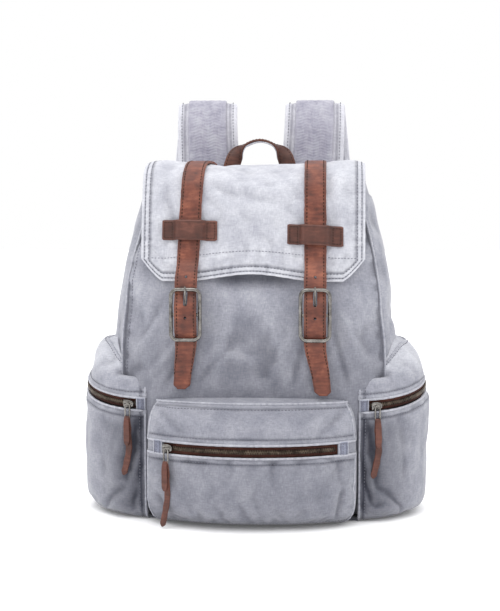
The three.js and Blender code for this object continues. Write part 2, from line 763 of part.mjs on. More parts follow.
function padSheet(line, width, footWidth, lift, wall, steps) {
  return sheet(
    (u, v) => {
      const t = line.getTangentAt(v);
      const normal = V(0, -t.z, t.y).normalize();
      const half = lerp(width, footWidth, v) / 2;
      return line.getPointAt(v).add(V(lerp(-half, half, u), 0, 0)).addScaledVector(normal, lift);
    },
    wall, 2, steps,
    (u, v) => {
      const t = line.getTangentAt(v);
      return V(0, -t.z, t.y).normalize();
    },
  );
}

function addShoulderStrap(side, sideways) {
  const line = padLine(sideways);
  add("shoulder_pad_" + side, padSheet(line, PAD.width, PAD.foot, PAD.thick / 2, PAD.thick, 24), canvas);
  const skin = PAD.thick / 2 + GAP + WEB.thick;
  add("shoulder_webbing_" + side, padSheet(line, WEB.face, WEB.face - 8, skin, WEB.thick, 24), webbing);

  const from = line.getPointAt(1);
  const to = V(ANCHOR[0] * sideways, ANCHOR[1], ANCHOR[2]);
  const along = to.clone().sub(from).normalize();
  const length = from.distanceTo(to);
  const turn = new THREE.Quaternion().setFromUnitVectors(V(0, 0, -1), along);
  const lower = add(
    "lower_strap_" + side,
    new THREE.BoxGeometry(WEB.width, WEB.thick, length - 8), webbing,
  );
  lower.quaternion.copy(turn);
  lower.position.copy(from).addScaledVector(along, length / 2 + 1);

  const outer = block(-18, 18, -3.4, 3.4, -11, 11);
  const bore = block(-WEB.width / 2 - 0.8, WEB.width / 2 + 0.8, -1.5, 1.5, -20, 20);
  const window = block(-WEB.width / 2 - 0.8, WEB.width / 2 + 0.8, 0, 9, -7.5, -1.8);
  const second = block(-WEB.width / 2 - 0.8, WEB.width / 2 + 0.8, 0, 9, 1.8, 7.5);
  const adjuster = add("strap_adjuster_" + side, cut(outer, bore, window, second), nickel);
  adjuster.quaternion.copy(turn);
  adjuster.position.copy(from).addScaledVector(along, 24);

  // The corner tab is a leather triangle sewn to the foot of the back panel.
  const shape = new THREE.Shape();
  shape.moveTo(-20, -12).lineTo(20, -12).lineTo(20, 0).lineTo(6, 24).lineTo(-12, 24);
  const tab = new THREE.ExtrudeGeometry(shape, { depth: 2.4, bevelEnabled: false });
  const tabMesh = add("corner_tab_" + side, tab.rotateX(PI / 2), leather);
  tabMesh.scale.x = sideways;
  tabMesh.position.set(sideways * 112, SACK.back + 2.8, 22);
}

function addYoke() {
  add("yoke", block(-104, 104, SACK.back + GAP, SACK.back + 2.6, 316, 376), canvas);
}

addSack();
addFlap();
STRAPS.forEach(addClosure);
addFrontPocket();
addSidePocket("left", -1);
addSidePocket("right", 1);
addHandle();
addShoulderStrap("left", -1);
addShoulderStrap("right", 1);
addYoke();

export default bag;
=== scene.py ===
# A washed canvas rucksack: buckled flap, leather closing straps, zipped front and side pockets,
# a leather carry handle and padded shoulder straps.
import math

import bpy
import bmesh
import numpy as np
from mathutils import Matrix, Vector


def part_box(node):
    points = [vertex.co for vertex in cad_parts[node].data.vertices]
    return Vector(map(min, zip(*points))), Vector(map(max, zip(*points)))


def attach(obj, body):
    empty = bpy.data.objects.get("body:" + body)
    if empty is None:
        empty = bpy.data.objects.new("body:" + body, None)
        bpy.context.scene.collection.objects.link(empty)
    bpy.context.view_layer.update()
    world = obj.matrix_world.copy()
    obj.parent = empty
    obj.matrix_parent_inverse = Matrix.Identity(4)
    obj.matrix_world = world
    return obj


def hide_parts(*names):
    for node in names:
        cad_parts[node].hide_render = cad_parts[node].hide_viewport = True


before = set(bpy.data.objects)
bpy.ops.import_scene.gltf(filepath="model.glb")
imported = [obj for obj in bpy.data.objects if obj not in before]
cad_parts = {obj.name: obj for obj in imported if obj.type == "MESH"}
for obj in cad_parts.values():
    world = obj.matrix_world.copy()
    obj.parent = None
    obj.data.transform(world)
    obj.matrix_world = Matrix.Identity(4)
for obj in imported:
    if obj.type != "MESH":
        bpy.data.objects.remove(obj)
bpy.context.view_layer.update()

# ---- The camera ----
# Seen from a little above and a little to the bag's left, from well back.
AIM = Vector((-0.0072, 0, 0.229))
VIEW_AZIMUTH = math.radians(3.5)
VIEW_ELEVATION = math.radians(5)
VIEW_DISTANCE = 1.6
LENS = 83.2


def add_camera():
    camera = bpy.data.objects.new("camera", bpy.data.cameras.new("camera"))
    bpy.context.scene.collection.objects.link(camera)
    camera.data.lens = LENS
    level = math.cos(VIEW_ELEVATION)
    away = Vector((math.sin(VIEW_AZIMUTH) * level, -math.cos(VIEW_AZIMUTH) * level,
                   math.sin(VIEW_ELEVATION)))
    camera.location = AIM + away * VIEW_DISTANCE
    camera.rotation_euler = away.to_track_quat("Z", "Y").to_euler()
    bpy.context.scene.camera = camera


add_camera()

# ---- Sizes, in millimetres, before the frame's own shift in Y ----
MM = 0.001
YOKE_FACE = 72.4
SHIFT_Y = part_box("yoke")[0].y / MM - YOKE_FACE

MOUTH, BACK_RISE = 368, 8
WIDEST, SACK_HALF, FOOT_HALF, MOUTH_HALF = 140, 157, 141, 120  # a height, then half widths
FOREMOST, SACK_FRONT, FOOT_FRONT, MOUTH_FRONT = 130, -84, -72, -46  # a height, then front faces
SACK_BACK = 72
FOOT_ROUND = 16  # the radius of the foot's edge
SACK_WALL = 2.4
FRONT_POWER, BACK_POWER = 3.4, 5.5  # how square the plan's corners are, in front and behind
FRONT_SEAM, BACK_SEAM = 60, 47  # degrees from straight ahead and from straight back
FLAP_LINE = [(72.5, 379.5), (60, 385.5), (18, 388), (-25, 385.5), (-51, 374),
             (-63, 348), (-70, 315), (-76, 280), (-79, 262)]
FLAP_HALF, FLAP_WALL = 121, 2.5
STRAP_WIDTH, STRAP_THICK = 23.5, 3
BUCKLE_Z, BAR_Y, BUCKLE_Y = 227.5, -96.3, -94.5
CLOSINGS = [
    dict(side="left", top=-60, buckle=-70, tail=-75, tail_z=147, keeper_z=316, tilt=0.01),
    dict(side="right", top=66, buckle=68, tail=77, tail_z=141, keeper_z=311, tilt=0.05),
]
FRONT_ZIP_Z, SIDE_ZIP_Z, SLOT = 87, 143.4, 6.5
SIDE_TILT = math.radians(11)  # the side zips climb towards the back
POCKET_WALL = 2.2
LIP_STITCH = 6.2  # from a zip's slot to the stitches beside it
PAD_LINE = [(60, 82.2, 338), (60, 86.2, 352), (60.5, 89.8, 366), (62, 95.5, 400),
            (63.5, 100.5, 436), (64, 113.5, 459.5), (66, 131, 447),
            (71, 138, 405), (81, 137, 325), (94, 129, 235), (105, 113, 152)]
HANDLE_HALF = [(33, 78.2, 362), (34, 78.4, 374), (32.5, 79.2, 389), (23, 81, 406), (0, 82, 416)]
HANDLE_WIDTH = 19
LOWER_END = (123, 77, 22)  # where a shoulder strap's webbing meets its corner
CORNER_X = 112
WELL_BEHIND = 900  # far enough behind a surface to tell which way is out

# ---- Small sums ----

def lerp(a, b, t):
    return a + (b - a) * t


def smooth(v, a, b):
    t = np.clip((v - a) / (b - a), 0, 1)
    return t * t * (3 - 2 * t)


def bell(v, width):
    """A smooth bump that is 1 at zero and dies out over its width on both sides."""
    return np.exp(-((v / width) ** 2))


def power(v, p):
    return np.sign(v) * np.abs(v) ** p


def unit(v):
    return v / np.maximum(np.linalg.norm(v, axis=-1, keepdims=True), 1e-9)


def ripple(*axes, size, seed=0):
    """Smooth random waves, about -1 to 1, over coordinates in millimetres; size is a wave's length."""
    waves = np.random.default_rng(seed)
    total = np.zeros(np.broadcast(*axes).shape)
    count = 9
    for _ in range(count):
        way = waves.normal(size=len(axes))
        way /= np.linalg.norm(way)
        reach = 2 * math.pi / (size * waves.uniform(0.7, 1.5))
        total += np.sin(sum(w * a for w, a in zip(way, axes)) * reach + waves.uniform(0, 7))
    return total / math.sqrt(count)


def fold(x, z, start, end, width, height):
    """A soft ridge (or a hollow, below zero) that runs from start to end and dies out at both."""
    (x0, z0), (x1, z1) = start, end
    length = math.hypot(x1 - x0, z1 - z0)
    along = ((x - x0) * (x1 - x0) + (z - z0) * (z1 - z0)) / length**2
    across = ((x - x0) * (z1 - z0) - (z - z0) * (x1 - x0)) / length
    ends = smooth(along, -0.15, 0.3) * (1 - smooth(along, 0.7, 1.15))
    return height * ends * bell(across, width)


def add_folds(field, x, z, table, share=1.0):
    """A field of heights with each fold of a table, as start, end, width and height, added."""
    for start, end, width, height in table:
        field = field + fold(x, z, start, end, width, height) * share
    return field


class Line:
    """A smooth line through points, with even spacing from 0 to 1 along it."""

    def __init__(self, points):
        p = np.array(points, float)
        p = np.vstack([2 * p[0] - p[1], p, 2 * p[-1] - p[-2]])
        dense = []
        for a, b, c, d in zip(p[:-3], p[1:-2], p[2:-1], p[3:]):
            g0, g1, g2 = (max(np.linalg.norm(v), 1e-6) ** 0.5 for v in (b - a, c - b, d - c))
            m1 = ((b - a) / g0 - (c - a) / (g0 + g1) + (c - b) / g1) * g1
            m2 = ((c - b) / g1 - (d - b) / (g1 + g2) + (d - c) / g2) * g1
            t = np.linspace(0, 1, 40, endpoint=False)[:, None]
            dense.append(b + m1 * t + (3 * (c - b) - 2 * m1 - m2) * t**2
                         + (2 * (b - c) + m1 + m2) * t**3)
        self.points = np.vstack([*dense, p[-2:-1]])
        steps = np.linalg.norm(np.diff(self.points, axis=0), axis=1)
        self.reach = np.concatenate([[0], np.cumsum(steps)])
        self.length = self.reach[-1]

    def at(self, v):
        want = np.clip(v, 0, 1) * self.length
        return np.stack([np.interp(want, self.reach, self.points[:, k])
                         for k in range(self.points.shape[1])], axis=-1)

    def heading(self, v):
        return unit(self.at(np.minimum(np.add(v, 1e-3), 1)) - self.at(np.maximum(np.add(v, -1e-3), 0)))


# ---- The sack's and the flap's shapes ----
def half_width(z):
    """Half the sack's width at a height."""
    end = np.where(z < WIDEST, FOOT_HALF, MOUTH_HALF)
    return lerp(SACK_HALF, end, ((z - WIDEST) / (np.where(z < WIDEST, 0, MOUTH) - WIDEST)) ** 2)


def front_y(z):
    """Where the sack's front face lies at a height."""
    end = np.where(z < FOREMOST, FOOT_FRONT, MOUTH_FRONT)
    far = np.where(z < FOREMOST, 0, MOUTH)
    return lerp(SACK_FRONT, end, ((z - FOREMOST) / (far - FOREMOST)) ** 2)


def tuck(z):
    """How far the sack's rounded foot draws in at a height."""
    below = np.maximum(FOOT_ROUND - z, 0)
    return FOOT_ROUND - np.sqrt(np.maximum(FOOT_ROUND**2 - below**2, 0))


def sack_plan(z, inset=0.0, back_inset=None):
    """Half width, middle Y and half depth of the sack's plan at a height."""
    a = half_width(z) - tuck(z) - inset
    front = front_y(z) + tuck(z) + inset
    back = SACK_BACK - tuck(z) - (inset if back_inset is None else back_inset)
    return a, (front + back) / 2, (back - front) / 2


def sack_point(angle, z, inset=0.0, back_inset=None):
    """A place on the sack: an angle round its plan, from +X, and a height."""
    a, middle, b = sack_plan(z, inset, back_inset)
    p = np.where(np.sin(angle) < 0, 2 / FRONT_POWER, 2 / BACK_POWER)
    x = a * power(np.cos(angle), p)
    y = middle + b * power(np.sin(angle), p)
    return np.stack(np.broadcast_arrays(x, y, z), axis=-1)


def sack_front_at(x, z, inset=0.0):
    """The Y of the sack's front face."""
    a, middle, b = sack_plan(z, inset)
    return middle - b * np.maximum(1 - np.abs(np.clip(x / a, -1, 1)) ** FRONT_POWER, 0) ** (
        1 / FRONT_POWER)


def sack_side_at(y, z, inset=0.0):
    """The X of the sack's side."""
    a, middle, b = sack_plan(z, inset)
    t = np.clip((y - middle) / b, -1, 1)
    p = np.where(t < 0, FRONT_POWER, BACK_POWER)
    return a * np.maximum(1 - np.abs(t) ** p, 0) ** (1 / p)


def rim_z(angle):
    """The mouth's height, which rises towards the back."""
    return MOUTH + BACK_RISE * (1 - smooth(-np.sin(angle), 0, 0.9))


flap_middle = Line(FLAP_LINE)


def flap_point(across, down):
    """A place on the flap: across from -1 to 1, and down from its hinge, 0 to 1."""
    on = flap_middle.at(down)
    fall = smooth(down, 0.28, 0.62)
    lip = smooth(down, 0, 0.12)
    a = np.abs(across)
    y = on[..., 0] + 10 * fall * a**3.4
    z = on[..., 1] + (1 - fall) * lip * (12 * a**2.4 - 3 - 8 * a**12)
    return np.stack(np.broadcast_arrays(across * FLAP_HALF, y, z), axis=-1)


def flap_normal(down):
    """The way out from the flap's middle line."""
    t = flap_middle.heading(down)
    return np.stack([0 * t[..., 0], t[..., 1], -t[..., 0]], axis=-1)


def hem_line(across):
    """How far down the flap's hem lies: arched in the middle, cut off at its corners."""
    a = np.abs(across)
    corner = np.maximum(a - 0.8, 0) / 0.2
    return 1 - (8 * (1 - smooth(a, 0, 0.62)) + 24 * corner**1.3) / flap_middle.length


def flap_down(z):
    """How far down the flap a height on its front lies."""
    v = np.linspace(0, 1, 800)
    return v[np.argmin(np.abs(flap_middle.at(v)[:, 1] - z) + (v < 0.3) * 100)]


# ---- Materials ----
def linear(hex_colour):
    """An sRGB hex colour as linear red, green, blue and alpha."""
    parts = [int(hex_colour[i:i + 2], 16) / 255 for i in (1, 3, 5)]
    return (*[c / 12.92 if c <= 0.04045 else ((c + 0.055) / 1.055) ** 2.4 for c in parts], 1)


def add_node(tree, kind, inputs=(), **settings):
    """Adds a node, sets its settings and fills its sockets with values or links."""
    made = tree.nodes.new("ShaderNode" + kind)
    for name, value in settings.items():
        setattr(made, name, value)
    for name, value in dict(inputs).items():
        if isinstance(value, bpy.types.NodeSocket):
            tree.links.new(value, made.inputs[name])
        else:
            made.inputs[name].default_value = value
    return made


def begin_material(name):
    """A new material, its node tree, its shader and the coordinates of its object."""
    material = bpy.data.materials.new(name)
    material.use_nodes = True
    tree = material.node_tree
    shader = tree.nodes["Principled BSDF"]
    place = add_node(tree, "TexCoord").outputs["Object"]
    return material, tree, shader, place


def ramp(tree, factor, *stops):
    """A colour ramp; each stop is a position and an sRGB hex colour."""
    made = add_node(tree, "ValToRGB", {"Fac": factor})
    band = made.color_ramp.elements
    while len(band) < len(stops):
        band.new(0.5)
    for element, (position, colour) in zip(band, stops):
        element.position = position
        element.color = linear(colour)
    return made.outputs["Color"]


def grain(tree, place, stretch, detail=2.0):
    """Noise drawn out along an axis; stretch is waves per metre along X, Y and Z."""
    mapping = add_node(tree, "Mapping", {"Vector": place, "Scale": stretch})
    return add_node(tree, "TexNoise", {
        "Vector": mapping.outputs["Vector"], "Scale": 1.0, "Detail": detail,
        "Roughness": 0.6}).outputs["Fac"]


def math_node(tree, operation, a, b):
    return add_node(tree, "Math", {0: a, 1: b}, operation=operation).outputs[0]


def mixed(tree, factor, a, b, blend="MIX"):
    made = add_node(tree, "Mix", {0: factor, 6: a, 7: b}, data_type="RGBA", blend_type=blend)
    return made.outputs[2]


def weighed(tree, a, share_a, b, share_b):
    """Two values, each times its share, added up."""
    return math_node(tree, "ADD", math_node(tree, "MULTIPLY", a, share_a),
                     math_node(tree, "MULTIPLY", b, share_b))


def dress(tree, shader, colour, height, strength, depth):
    """Gives a shader its colour and its relief; the relief's depth is in metres."""
    tree.links.new(colour, shader.inputs["Base Color"])
    bump = add_node(tree, "Bump", {"Height": height, "Strength": strength, "Distance": depth})
    tree.links.new(bump.outputs["Normal"], shader.inputs["Normal"])


def vary_gloss(tree, shader, value, low, high):
    """Lets a shader's roughness follow a value."""
    gloss = add_node(tree, "MapRange", {"Value": value, "To Min": low, "To Max": high})
    tree.links.new(gloss.outputs["Result"], shader.inputs["Roughness"])


THREAD = 1 / 1.3e-3  # threads per metre: drawn 1.3 mm apart, since real ones of 0.6 mm can't show


def cotton(name, deep, body, faded, weave=THREAD, rough=0.92, relief=0.5, sheen=0.25):
    """Woven cotton, stone washed: it gives soft cross-hatched threads, cloudy fading, pale worn
    ridges and seams (also a painted highlight where a piece asks), and painted shade in its hollows."""
    material, tree, shader, place = begin_material(name)
    warp = grain(tree, place, (weave, weave, weave / 4))
    weft = grain(tree, place, (weave / 4, weave / 4, weave))
    threads = weighed(tree, warp, 0.5, weft, 0.5)
    clouds = grain(tree, place, (45, 45, 34), 8.0)
    mottle = weighed(tree, clouds, 0.48, threads, 0.52)
    colour = ramp(tree, mottle, (0.36, deep), (0.5, body), (0.64, faded))
    # the wear attribute pales the colour: real wear, and a painted highlight on the side pockets' tops
    worn = add_node(tree, "Attribute", attribute_name="wear").outputs["Fac"]
    speckle = math_node(tree, "MULTIPLY", worn, math_node(tree, "ADD", threads, 0.1))
    colour = mixed(tree, speckle, colour, linear("#d6d7dd"))
    # painted shade: the hollow attribute darkens the colour in creases, gaps, under things and low down
    hollow = add_node(tree, "Attribute", attribute_name="hollow").outputs["Fac"]
    colour = mixed(tree, hollow, colour, linear("#5d5e69"), "MULTIPLY")
    dress(tree, shader, colour, threads, relief, 0.0006)
    shader.inputs["Roughness"].default_value = rough
    shader.inputs["Sheen Weight"].default_value = sheen
    shader.inputs["Sheen Roughness"].default_value = 0.5
    shader.inputs["Specular IOR Level"].default_value = 0.25
    return material


def hide(name, dark, body, light, rough=0.5):
    """Oiled pull-up cow leather, cut and edge rubbed: it gives a cloudy two-tone brown, a fine
    pebbled grain of about 1.4 mm, pale stretched creases and dark edges."""
    material, tree, shader, place = begin_material(name)
    clouds = grain(tree, place, (60, 60, 42), 5.0)
    streaks = grain(tree, place, (90, 90, 400), 3.0)
    mottle = weighed(tree, clouds, 0.65, streaks, 0.35)
    colour = ramp(tree, mottle, (0.34, dark), (0.5, body), (0.67, light))
    worn = add_node(tree, "Attribute", attribute_name="wear").outputs["Fac"]
    colour = mixed(tree, math_node(tree, "MULTIPLY", worn, 0.6), colour, linear(light))
    # the hollow attribute darkens the colour: painted shade in creases and beside stitches, and a darker
    # band just inside a strap's edges
    hollow = add_node(tree, "Attribute", attribute_name="hollow").outputs["Fac"]
    colour = mixed(tree, hollow, colour, linear("#40251c"), "MULTIPLY")
    pebble = add_node(tree, "TexVoronoi", {"Vector": place, "Scale": 1 / 1.4e-3},
                      feature="SMOOTH_F1").outputs["Distance"]
    height = math_node(tree, "ADD", math_node(tree, "MULTIPLY", pebble, 0.6), mottle)
    dress(tree, shader, colour, height, 0.35, 0.0005)
    vary_gloss(tree, shader, clouds, rough - 0.1, rough + 0.15)
    shader.inputs["Specular IOR Level"].default_value = 0.4
    return material


def cast_metal(name, dark, bright, rough):
    """Die-cast zinc with an antique plating, tumbled: it gives a cloudy tarnish of a few
    millimetres."""
    material, tree, shader, place = begin_material(name)
    tarnish = grain(tree, place, (140, 140, 140), 3.0)
    colour = ramp(tree, tarnish, (0.35, dark), (0.65, bright))
    shader.inputs["Metallic"].default_value = 1.0
    vary_gloss(tree, shader, tarnish, rough - 0.08, rough + 0.16)
    dress(tree, shader, colour, tarnish, 0.12, 0.0003)
    return material


def pressed_board(name):
    """Grey pulp board, pressed flat: it gives short crossed fibres."""
    material, tree, shader, place = begin_material(name)
    fibres = grain(tree, place, (500, 90, 300), 5.0)
    colour = ramp(tree, fibres, (0.35, "#57534d"), (0.65, "#7b766d"))
    dress(tree, shader, colour, fibres, 0.3, 0.0004)
    shader.inputs["Roughness"].default_value = 0.85
    return material


def open_foam(name):
    """Polyether foam, cut from the block: it gives an even, fine open-cell surface."""
    material, tree, shader, place = begin_material(name)
    cells = add_node(tree, "TexVoronoi", {"Vector": place, "Scale": 1 / 2e-3}).outputs["Distance"]
    dress(tree, shader, ramp(tree, cells, (0.1, "#a8a59c"), (0.6, "#d5d2c8")), cells, 0.5, 0.0005)
    shader.inputs["Roughness"].default_value = 0.95
    return material


canvas = cotton("washed_canvas", "#767883", "#898a94", "#9d9ea6")
pale_canvas = cotton("pale_washed_canvas", "#9a9ba5", "#aeafb7", "#c3c4ca")
worn_edge = cotton("worn_canvas_edge", "#7e7f8a", "#91929c", "#a6a7af")
strap_canvas = cotton("strap_canvas", "#9c9ba6", "#b0afb8", "#c5c4cb")
webbing_cotton = cotton("herringbone_webbing", "#aeacbc", "#cbc9d6", "#e2e1e9", 1 / 2.8e-3, relief=0.9)
lining_cotton = cotton("lining_cotton", "#7a746b", "#8b857a", "#9a9489", 1 / 1.1e-3)
zip_cotton = cotton("zip_tape", "#2a1613", "#3d211b", "#543229", 1 / 1.1e-3, sheen=0.05)
dark_canvas = cotton("shaded_canvas", "#5f6272", "#757888", "#8b8e9c")
thread_grey = cotton("grey_thread", "#4c4d58", "#5d5e69", "#74757f", 1 / 1.0e-3)
thread_brown = cotton("brown_thread", "#241611", "#33211a", "#443026", 1 / 1.0e-3, sheen=0.0)
brown_leather = hide("brown_leather", "#43221a", "#643427", "#8b523d")
handle_leather = hide("handle_leather", "#351d16", "#48281f", "#643d30")
dark_leather = hide("dark_leather", "#381f18", "#4d2b22", "#6b4034", 0.5)
nickel = cast_metal("antique_nickel", "#5f5c59", "#8b8884", 0.2)
brass = cast_metal("antique_brass", "#332c27", "#655a4f", 0.3)
board = pressed_board("fibre_board")
foam = open_foam("padding_foam")

# ---- Making meshes ----
def place_piece(name, corners, faces, material, body, slot, replaces=(), values=None):
    """Makes a piece from corners in millimetres, and gives it to its body and its finish."""
    mesh = bpy.data.meshes.new(name)
    where = (np.asarray(corners, float) + (0, SHIFT_Y, 0)) * MM
    mesh.from_pydata(where.tolist(), [], faces)
    for key, numbers in (values or {}).items():
        layer = mesh.attributes.new(key, "FLOAT", "POINT")
        layer.data.foreach_set("value", np.asarray(numbers, np.float32).ravel())
    mesh.materials.append(material)
    mesh.polygons.foreach_set("use_smooth", [True] * len(mesh.polygons))
    mesh.update()
    piece = bpy.data.objects.new(name, mesh)
    bpy.context.scene.collection.objects.link(piece)
    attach(piece, body)
    if replaces:
        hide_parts(*replaces)
    return piece


def grid_faces(rows, cols, start=0, wrap=False, flip=False):
    """The squares of a grid of corners that is counted row by row."""
    r, c = np.meshgrid(np.arange(rows - 1), np.arange(cols if wrap else cols - 1), indexing="ij")
    after = (c + 1) % cols
    quads = np.stack([r * cols + c, r * cols + after, (r + 1) * cols + after, (r + 1) * cols + c],
                     axis=-1).reshape(-1, 4) + start
    return (quads[:, ::-1] if flip else quads).tolist()


def grid_normals(points, wrap=False):
    if wrap:
        du = np.roll(points, -1, 1) - np.roll(points, 1, 1)
    else:
        du = np.gradient(points, axis=1)
    return unit(np.cross(du, np.gradient(points, axis=0)))


def outward(points, wrap=False, centre=None):
    """Unit normals of a grid, and whether its own winding had to be turned to point away."""
    normals = grid_normals(points, wrap)
    middle = points.mean((0, 1)) if centre is None else np.array(centre, float)
    turned = np.sum(normals * (points - middle)) < 0
    return (-normals if turned else normals), turned


def softened(field, passes, wrap=False):
    """A grid of numbers or points, averaged with its neighbours several times."""
    for _ in range(passes):
        pad = [(1, 1)] + [(0, 0)] * (field.ndim - 1)
        tall = np.pad(field, pad, mode="edge")
        field = (tall[:-2] + 2 * field + tall[2:]) / 4
        pad = [(0, 0), (1, 1)] + [(0, 0)] * (field.ndim - 2)
        wide = np.pad(field, pad, mode="wrap" if wrap else "edge")
        field = (wide[:, :-2] + 2 * field + wide[:, 2:]) / 4
    return field


def hollows(points, normals, wrap=False):
    """How far each point lies below (above zero) or above (below zero) the cloth round it."""
    near = softened(points, 2, wrap)
    wide = softened(points, 14, wrap)
    return np.sum((0.65 * (wide - near) + 1.2 * (softened(points, 4, wrap) - points)) * normals, axis=-1)


RIDGE_WEAR, MOST_RIDGE = 0.2, 0.16  # wear for each millimetre a ridge stands up, and the most
DIP_SHADE, MOST_DIP = 0.3, 0.28  # the same for painted shade in a hollow


def shell(name, points, wall, material, body, slot, replaces=(), wear=0.0, wrap=False,
          centre=None, shade=0.0):
    """Cloth of a given wall behind a grid of outer points, closed at its edges."""
    rows, cols = points.shape[:2]
    normals, turned = outward(points, wrap, centre)
    inner = points - normals * wall
    bend = hollows(points, normals, wrap)
    worn = np.clip(np.broadcast_to(wear, (rows, cols))
                   + np.clip(-bend * RIDGE_WEAR, 0, MOST_RIDGE), 0, 1)
    # painted shade: darker where the cloth lies in a hollow or crease, added to what the piece paints
    deep = np.clip(np.broadcast_to(shade, (rows, cols))
                   + np.clip(bend * DIP_SHADE, 0, MOST_DIP), 0, 1)
    depth = rows * cols
    faces = grid_faces(rows, cols, 0, wrap, turned)
    faces += grid_faces(rows, cols, depth, wrap, not turned)
    edges = [[(r, 0) for r in range(rows)], [(r, cols - 1) for r in range(rows)][::-1]]
    if wrap:
        edges = []
    loop = list(range(cols)) + ([0] if wrap else [])
    edges += [[(0, c) for c in loop][::-1], [(rows - 1, c) for c in loop]]
    for run in edges:
        ids = [r * cols + c for r, c in run]
        for i, j in zip(ids, ids[1:]):
            quad = [j, i, i + depth, j + depth]
            faces.append(quad if turned else quad[::-1])
    # the inner face gets no wear, and half-strength painted shade all over
    values = {"wear": np.concatenate([worn.ravel(), worn.ravel() * 0]),
              "hollow": np.concatenate([deep.ravel(), deep.ravel() * 0 + 0.5])}
    corners = np.concatenate([points.reshape(-1, 3), inner.reshape(-1, 3)])
    return place_piece(name, corners, faces, material, body, slot, replaces, values)


def strip_section(width, thick, edge=None, count=7):
    """The outline of a flat strip with rounded edges, as distances across and out."""
    edge = min(thick / 2, edge or thick / 2)
    flat, up = width / 2 - edge, thick / 2 - edge
    outline = []
    for quarter, (sx, sy) in enumerate([(1, 1), (-1, 1), (-1, -1), (1, -1)]):
        for k in range(4):
            angle = math.pi / 2 * (quarter + k / 3)
            outline.append((sx * flat + edge * math.cos(angle), sy * up + edge * math.sin(angle)))
        if quarter in (0, 2):
            x = np.linspace(flat, -flat, count + 2)[1:-1] * (1 if quarter == 0 else -1)
            outline += [(v, sy * thick / 2) for v in x]
    return np.array(outline)


def round_section(radius, sides=8, squash=1.0):
    """The outline of a round bar, or an oval one."""
    angles = np.arange(sides) * 2 * math.pi / sides
    return np.stack([radius * np.cos(angles), radius * squash * np.sin(angles)], axis=-1)


def sweep_corners(centres, wide, face, section, scale=None, closed=False):
    """Corners and faces of a section swept along a line; scale narrows it from place to place."""
    count, sides = len(centres), section.shape[-2]
    section = np.broadcast_to(section, (count, sides, 2)).copy()
    if scale is not None:
        section[..., 0] *= np.asarray(scale)[:, None]
    corners = (centres[:, None] + section[..., :1] * wide[:, None] + section[..., 1:] * face[:, None])
    loop = corners if not closed else np.concatenate([corners, corners[:1]])
    flip = np.sum(np.cross(wide, face) * np.gradient(centres, axis=0)) > 0
    faces = grid_faces(len(loop), sides, 0, True, flip)
    if closed:
        total = count * sides
        faces = [[i % total for i in quad] for quad in faces]
        return corners.reshape(-1, 3), faces
    first, last = list(range(sides)), list(range((count - 1) * sides, count * sides))
    faces += [first if flip else first[::-1], last[::-1] if flip else last]
    return corners.reshape(-1, 3), faces


def reach_along(path):
    """How far each point of a path lies from its start."""
    return np.concatenate([[0], np.cumsum(np.linalg.norm(np.diff(path, axis=0), axis=1))])


def frames_along(centres, face_hint, closed=False):
    """Across and out directions for a sweep whose face looks towards a hint."""
    if closed:
        ahead = unit(np.roll(centres, -1, 0) - np.roll(centres, 1, 0))
    else:
        ahead = unit(np.gradient(centres, axis=0))
    hint = np.broadcast_to(np.asarray(face_hint, float), ahead.shape)
    wide = unit(np.cross(ahead, hint))
    return wide, np.cross(wide, ahead)


def merged(parts):
    """Corners and faces of several parts as one mesh."""
    corners, faces, start = [], [], 0
    for points, polygons in parts:
        corners.append(points)
        faces += [[i + start for i in polygon] for polygon in polygons]
        start += len(points)
    return np.concatenate(corners), faces


ANY_WAY = (0.13, 0.31, 0.94)  # a direction that no path here runs along


def cord_parts(path, radius, sides=8, hint=ANY_WAY):
    """Corners and faces of a round bar along a path."""
    path = np.asarray(path, float)
    wide, face = frames_along(path, hint)
    return sweep_corners(path, wide, face, round_section(radius, sides))


def rolled(name, path, radius, squash=1.0, hint=ANY_WAY, wear=0.15):
    """A rolled edge of canvas, a little uneven along its length and thinner at both ends."""
    path = np.asarray(path, float)
    sides, wobble, end_run, end_share = 10, 0.06, 5, 0.25
    wide, face = frames_along(path, hint)
    reach = reach_along(path)
    swell = 1 + wobble * ripple(reach, size=9, seed=len(name)) + wobble * 0.7 * ripple(
        reach, size=4, seed=len(name) + 3)
    ends = lerp(end_share, 1, smooth(np.minimum(reach, reach[-1] - reach), 0, end_run))
    section = round_section(radius, sides, squash)[None] * (swell * ends)[:, None, None]
    corners, faces = sweep_corners(path, wide, face, section)
    tone = np.clip(wear + 0.12 * ripple(reach, size=7, seed=3), 0, 1)
    # painted shade where the roll runs thinner
    values = {"wear": np.repeat(tone, sides), "hollow": np.repeat(np.clip(-swell + 1, 0, 1), sides)}
    return place_piece(name, corners, faces, worn_edge, "bag", "washed_canvas", (), values)


def even_steps(path, pitch):
    """Points and directions spaced evenly along a path of points."""
    path = np.asarray(path, float)
    reach = reach_along(path)
    want = np.arange(pitch / 2, reach[-1], pitch)
    at = np.stack([np.interp(want, reach, path[:, k]) for k in range(3)], axis=-1)
    ahead = np.stack([np.interp(want + 0.5, reach, path[:, k]) for k in range(3)], axis=-1)
    behind = np.stack([np.interp(want - 0.5, reach, path[:, k]) for k in range(3)], axis=-1)
    return at, unit(ahead - behind), want, reach


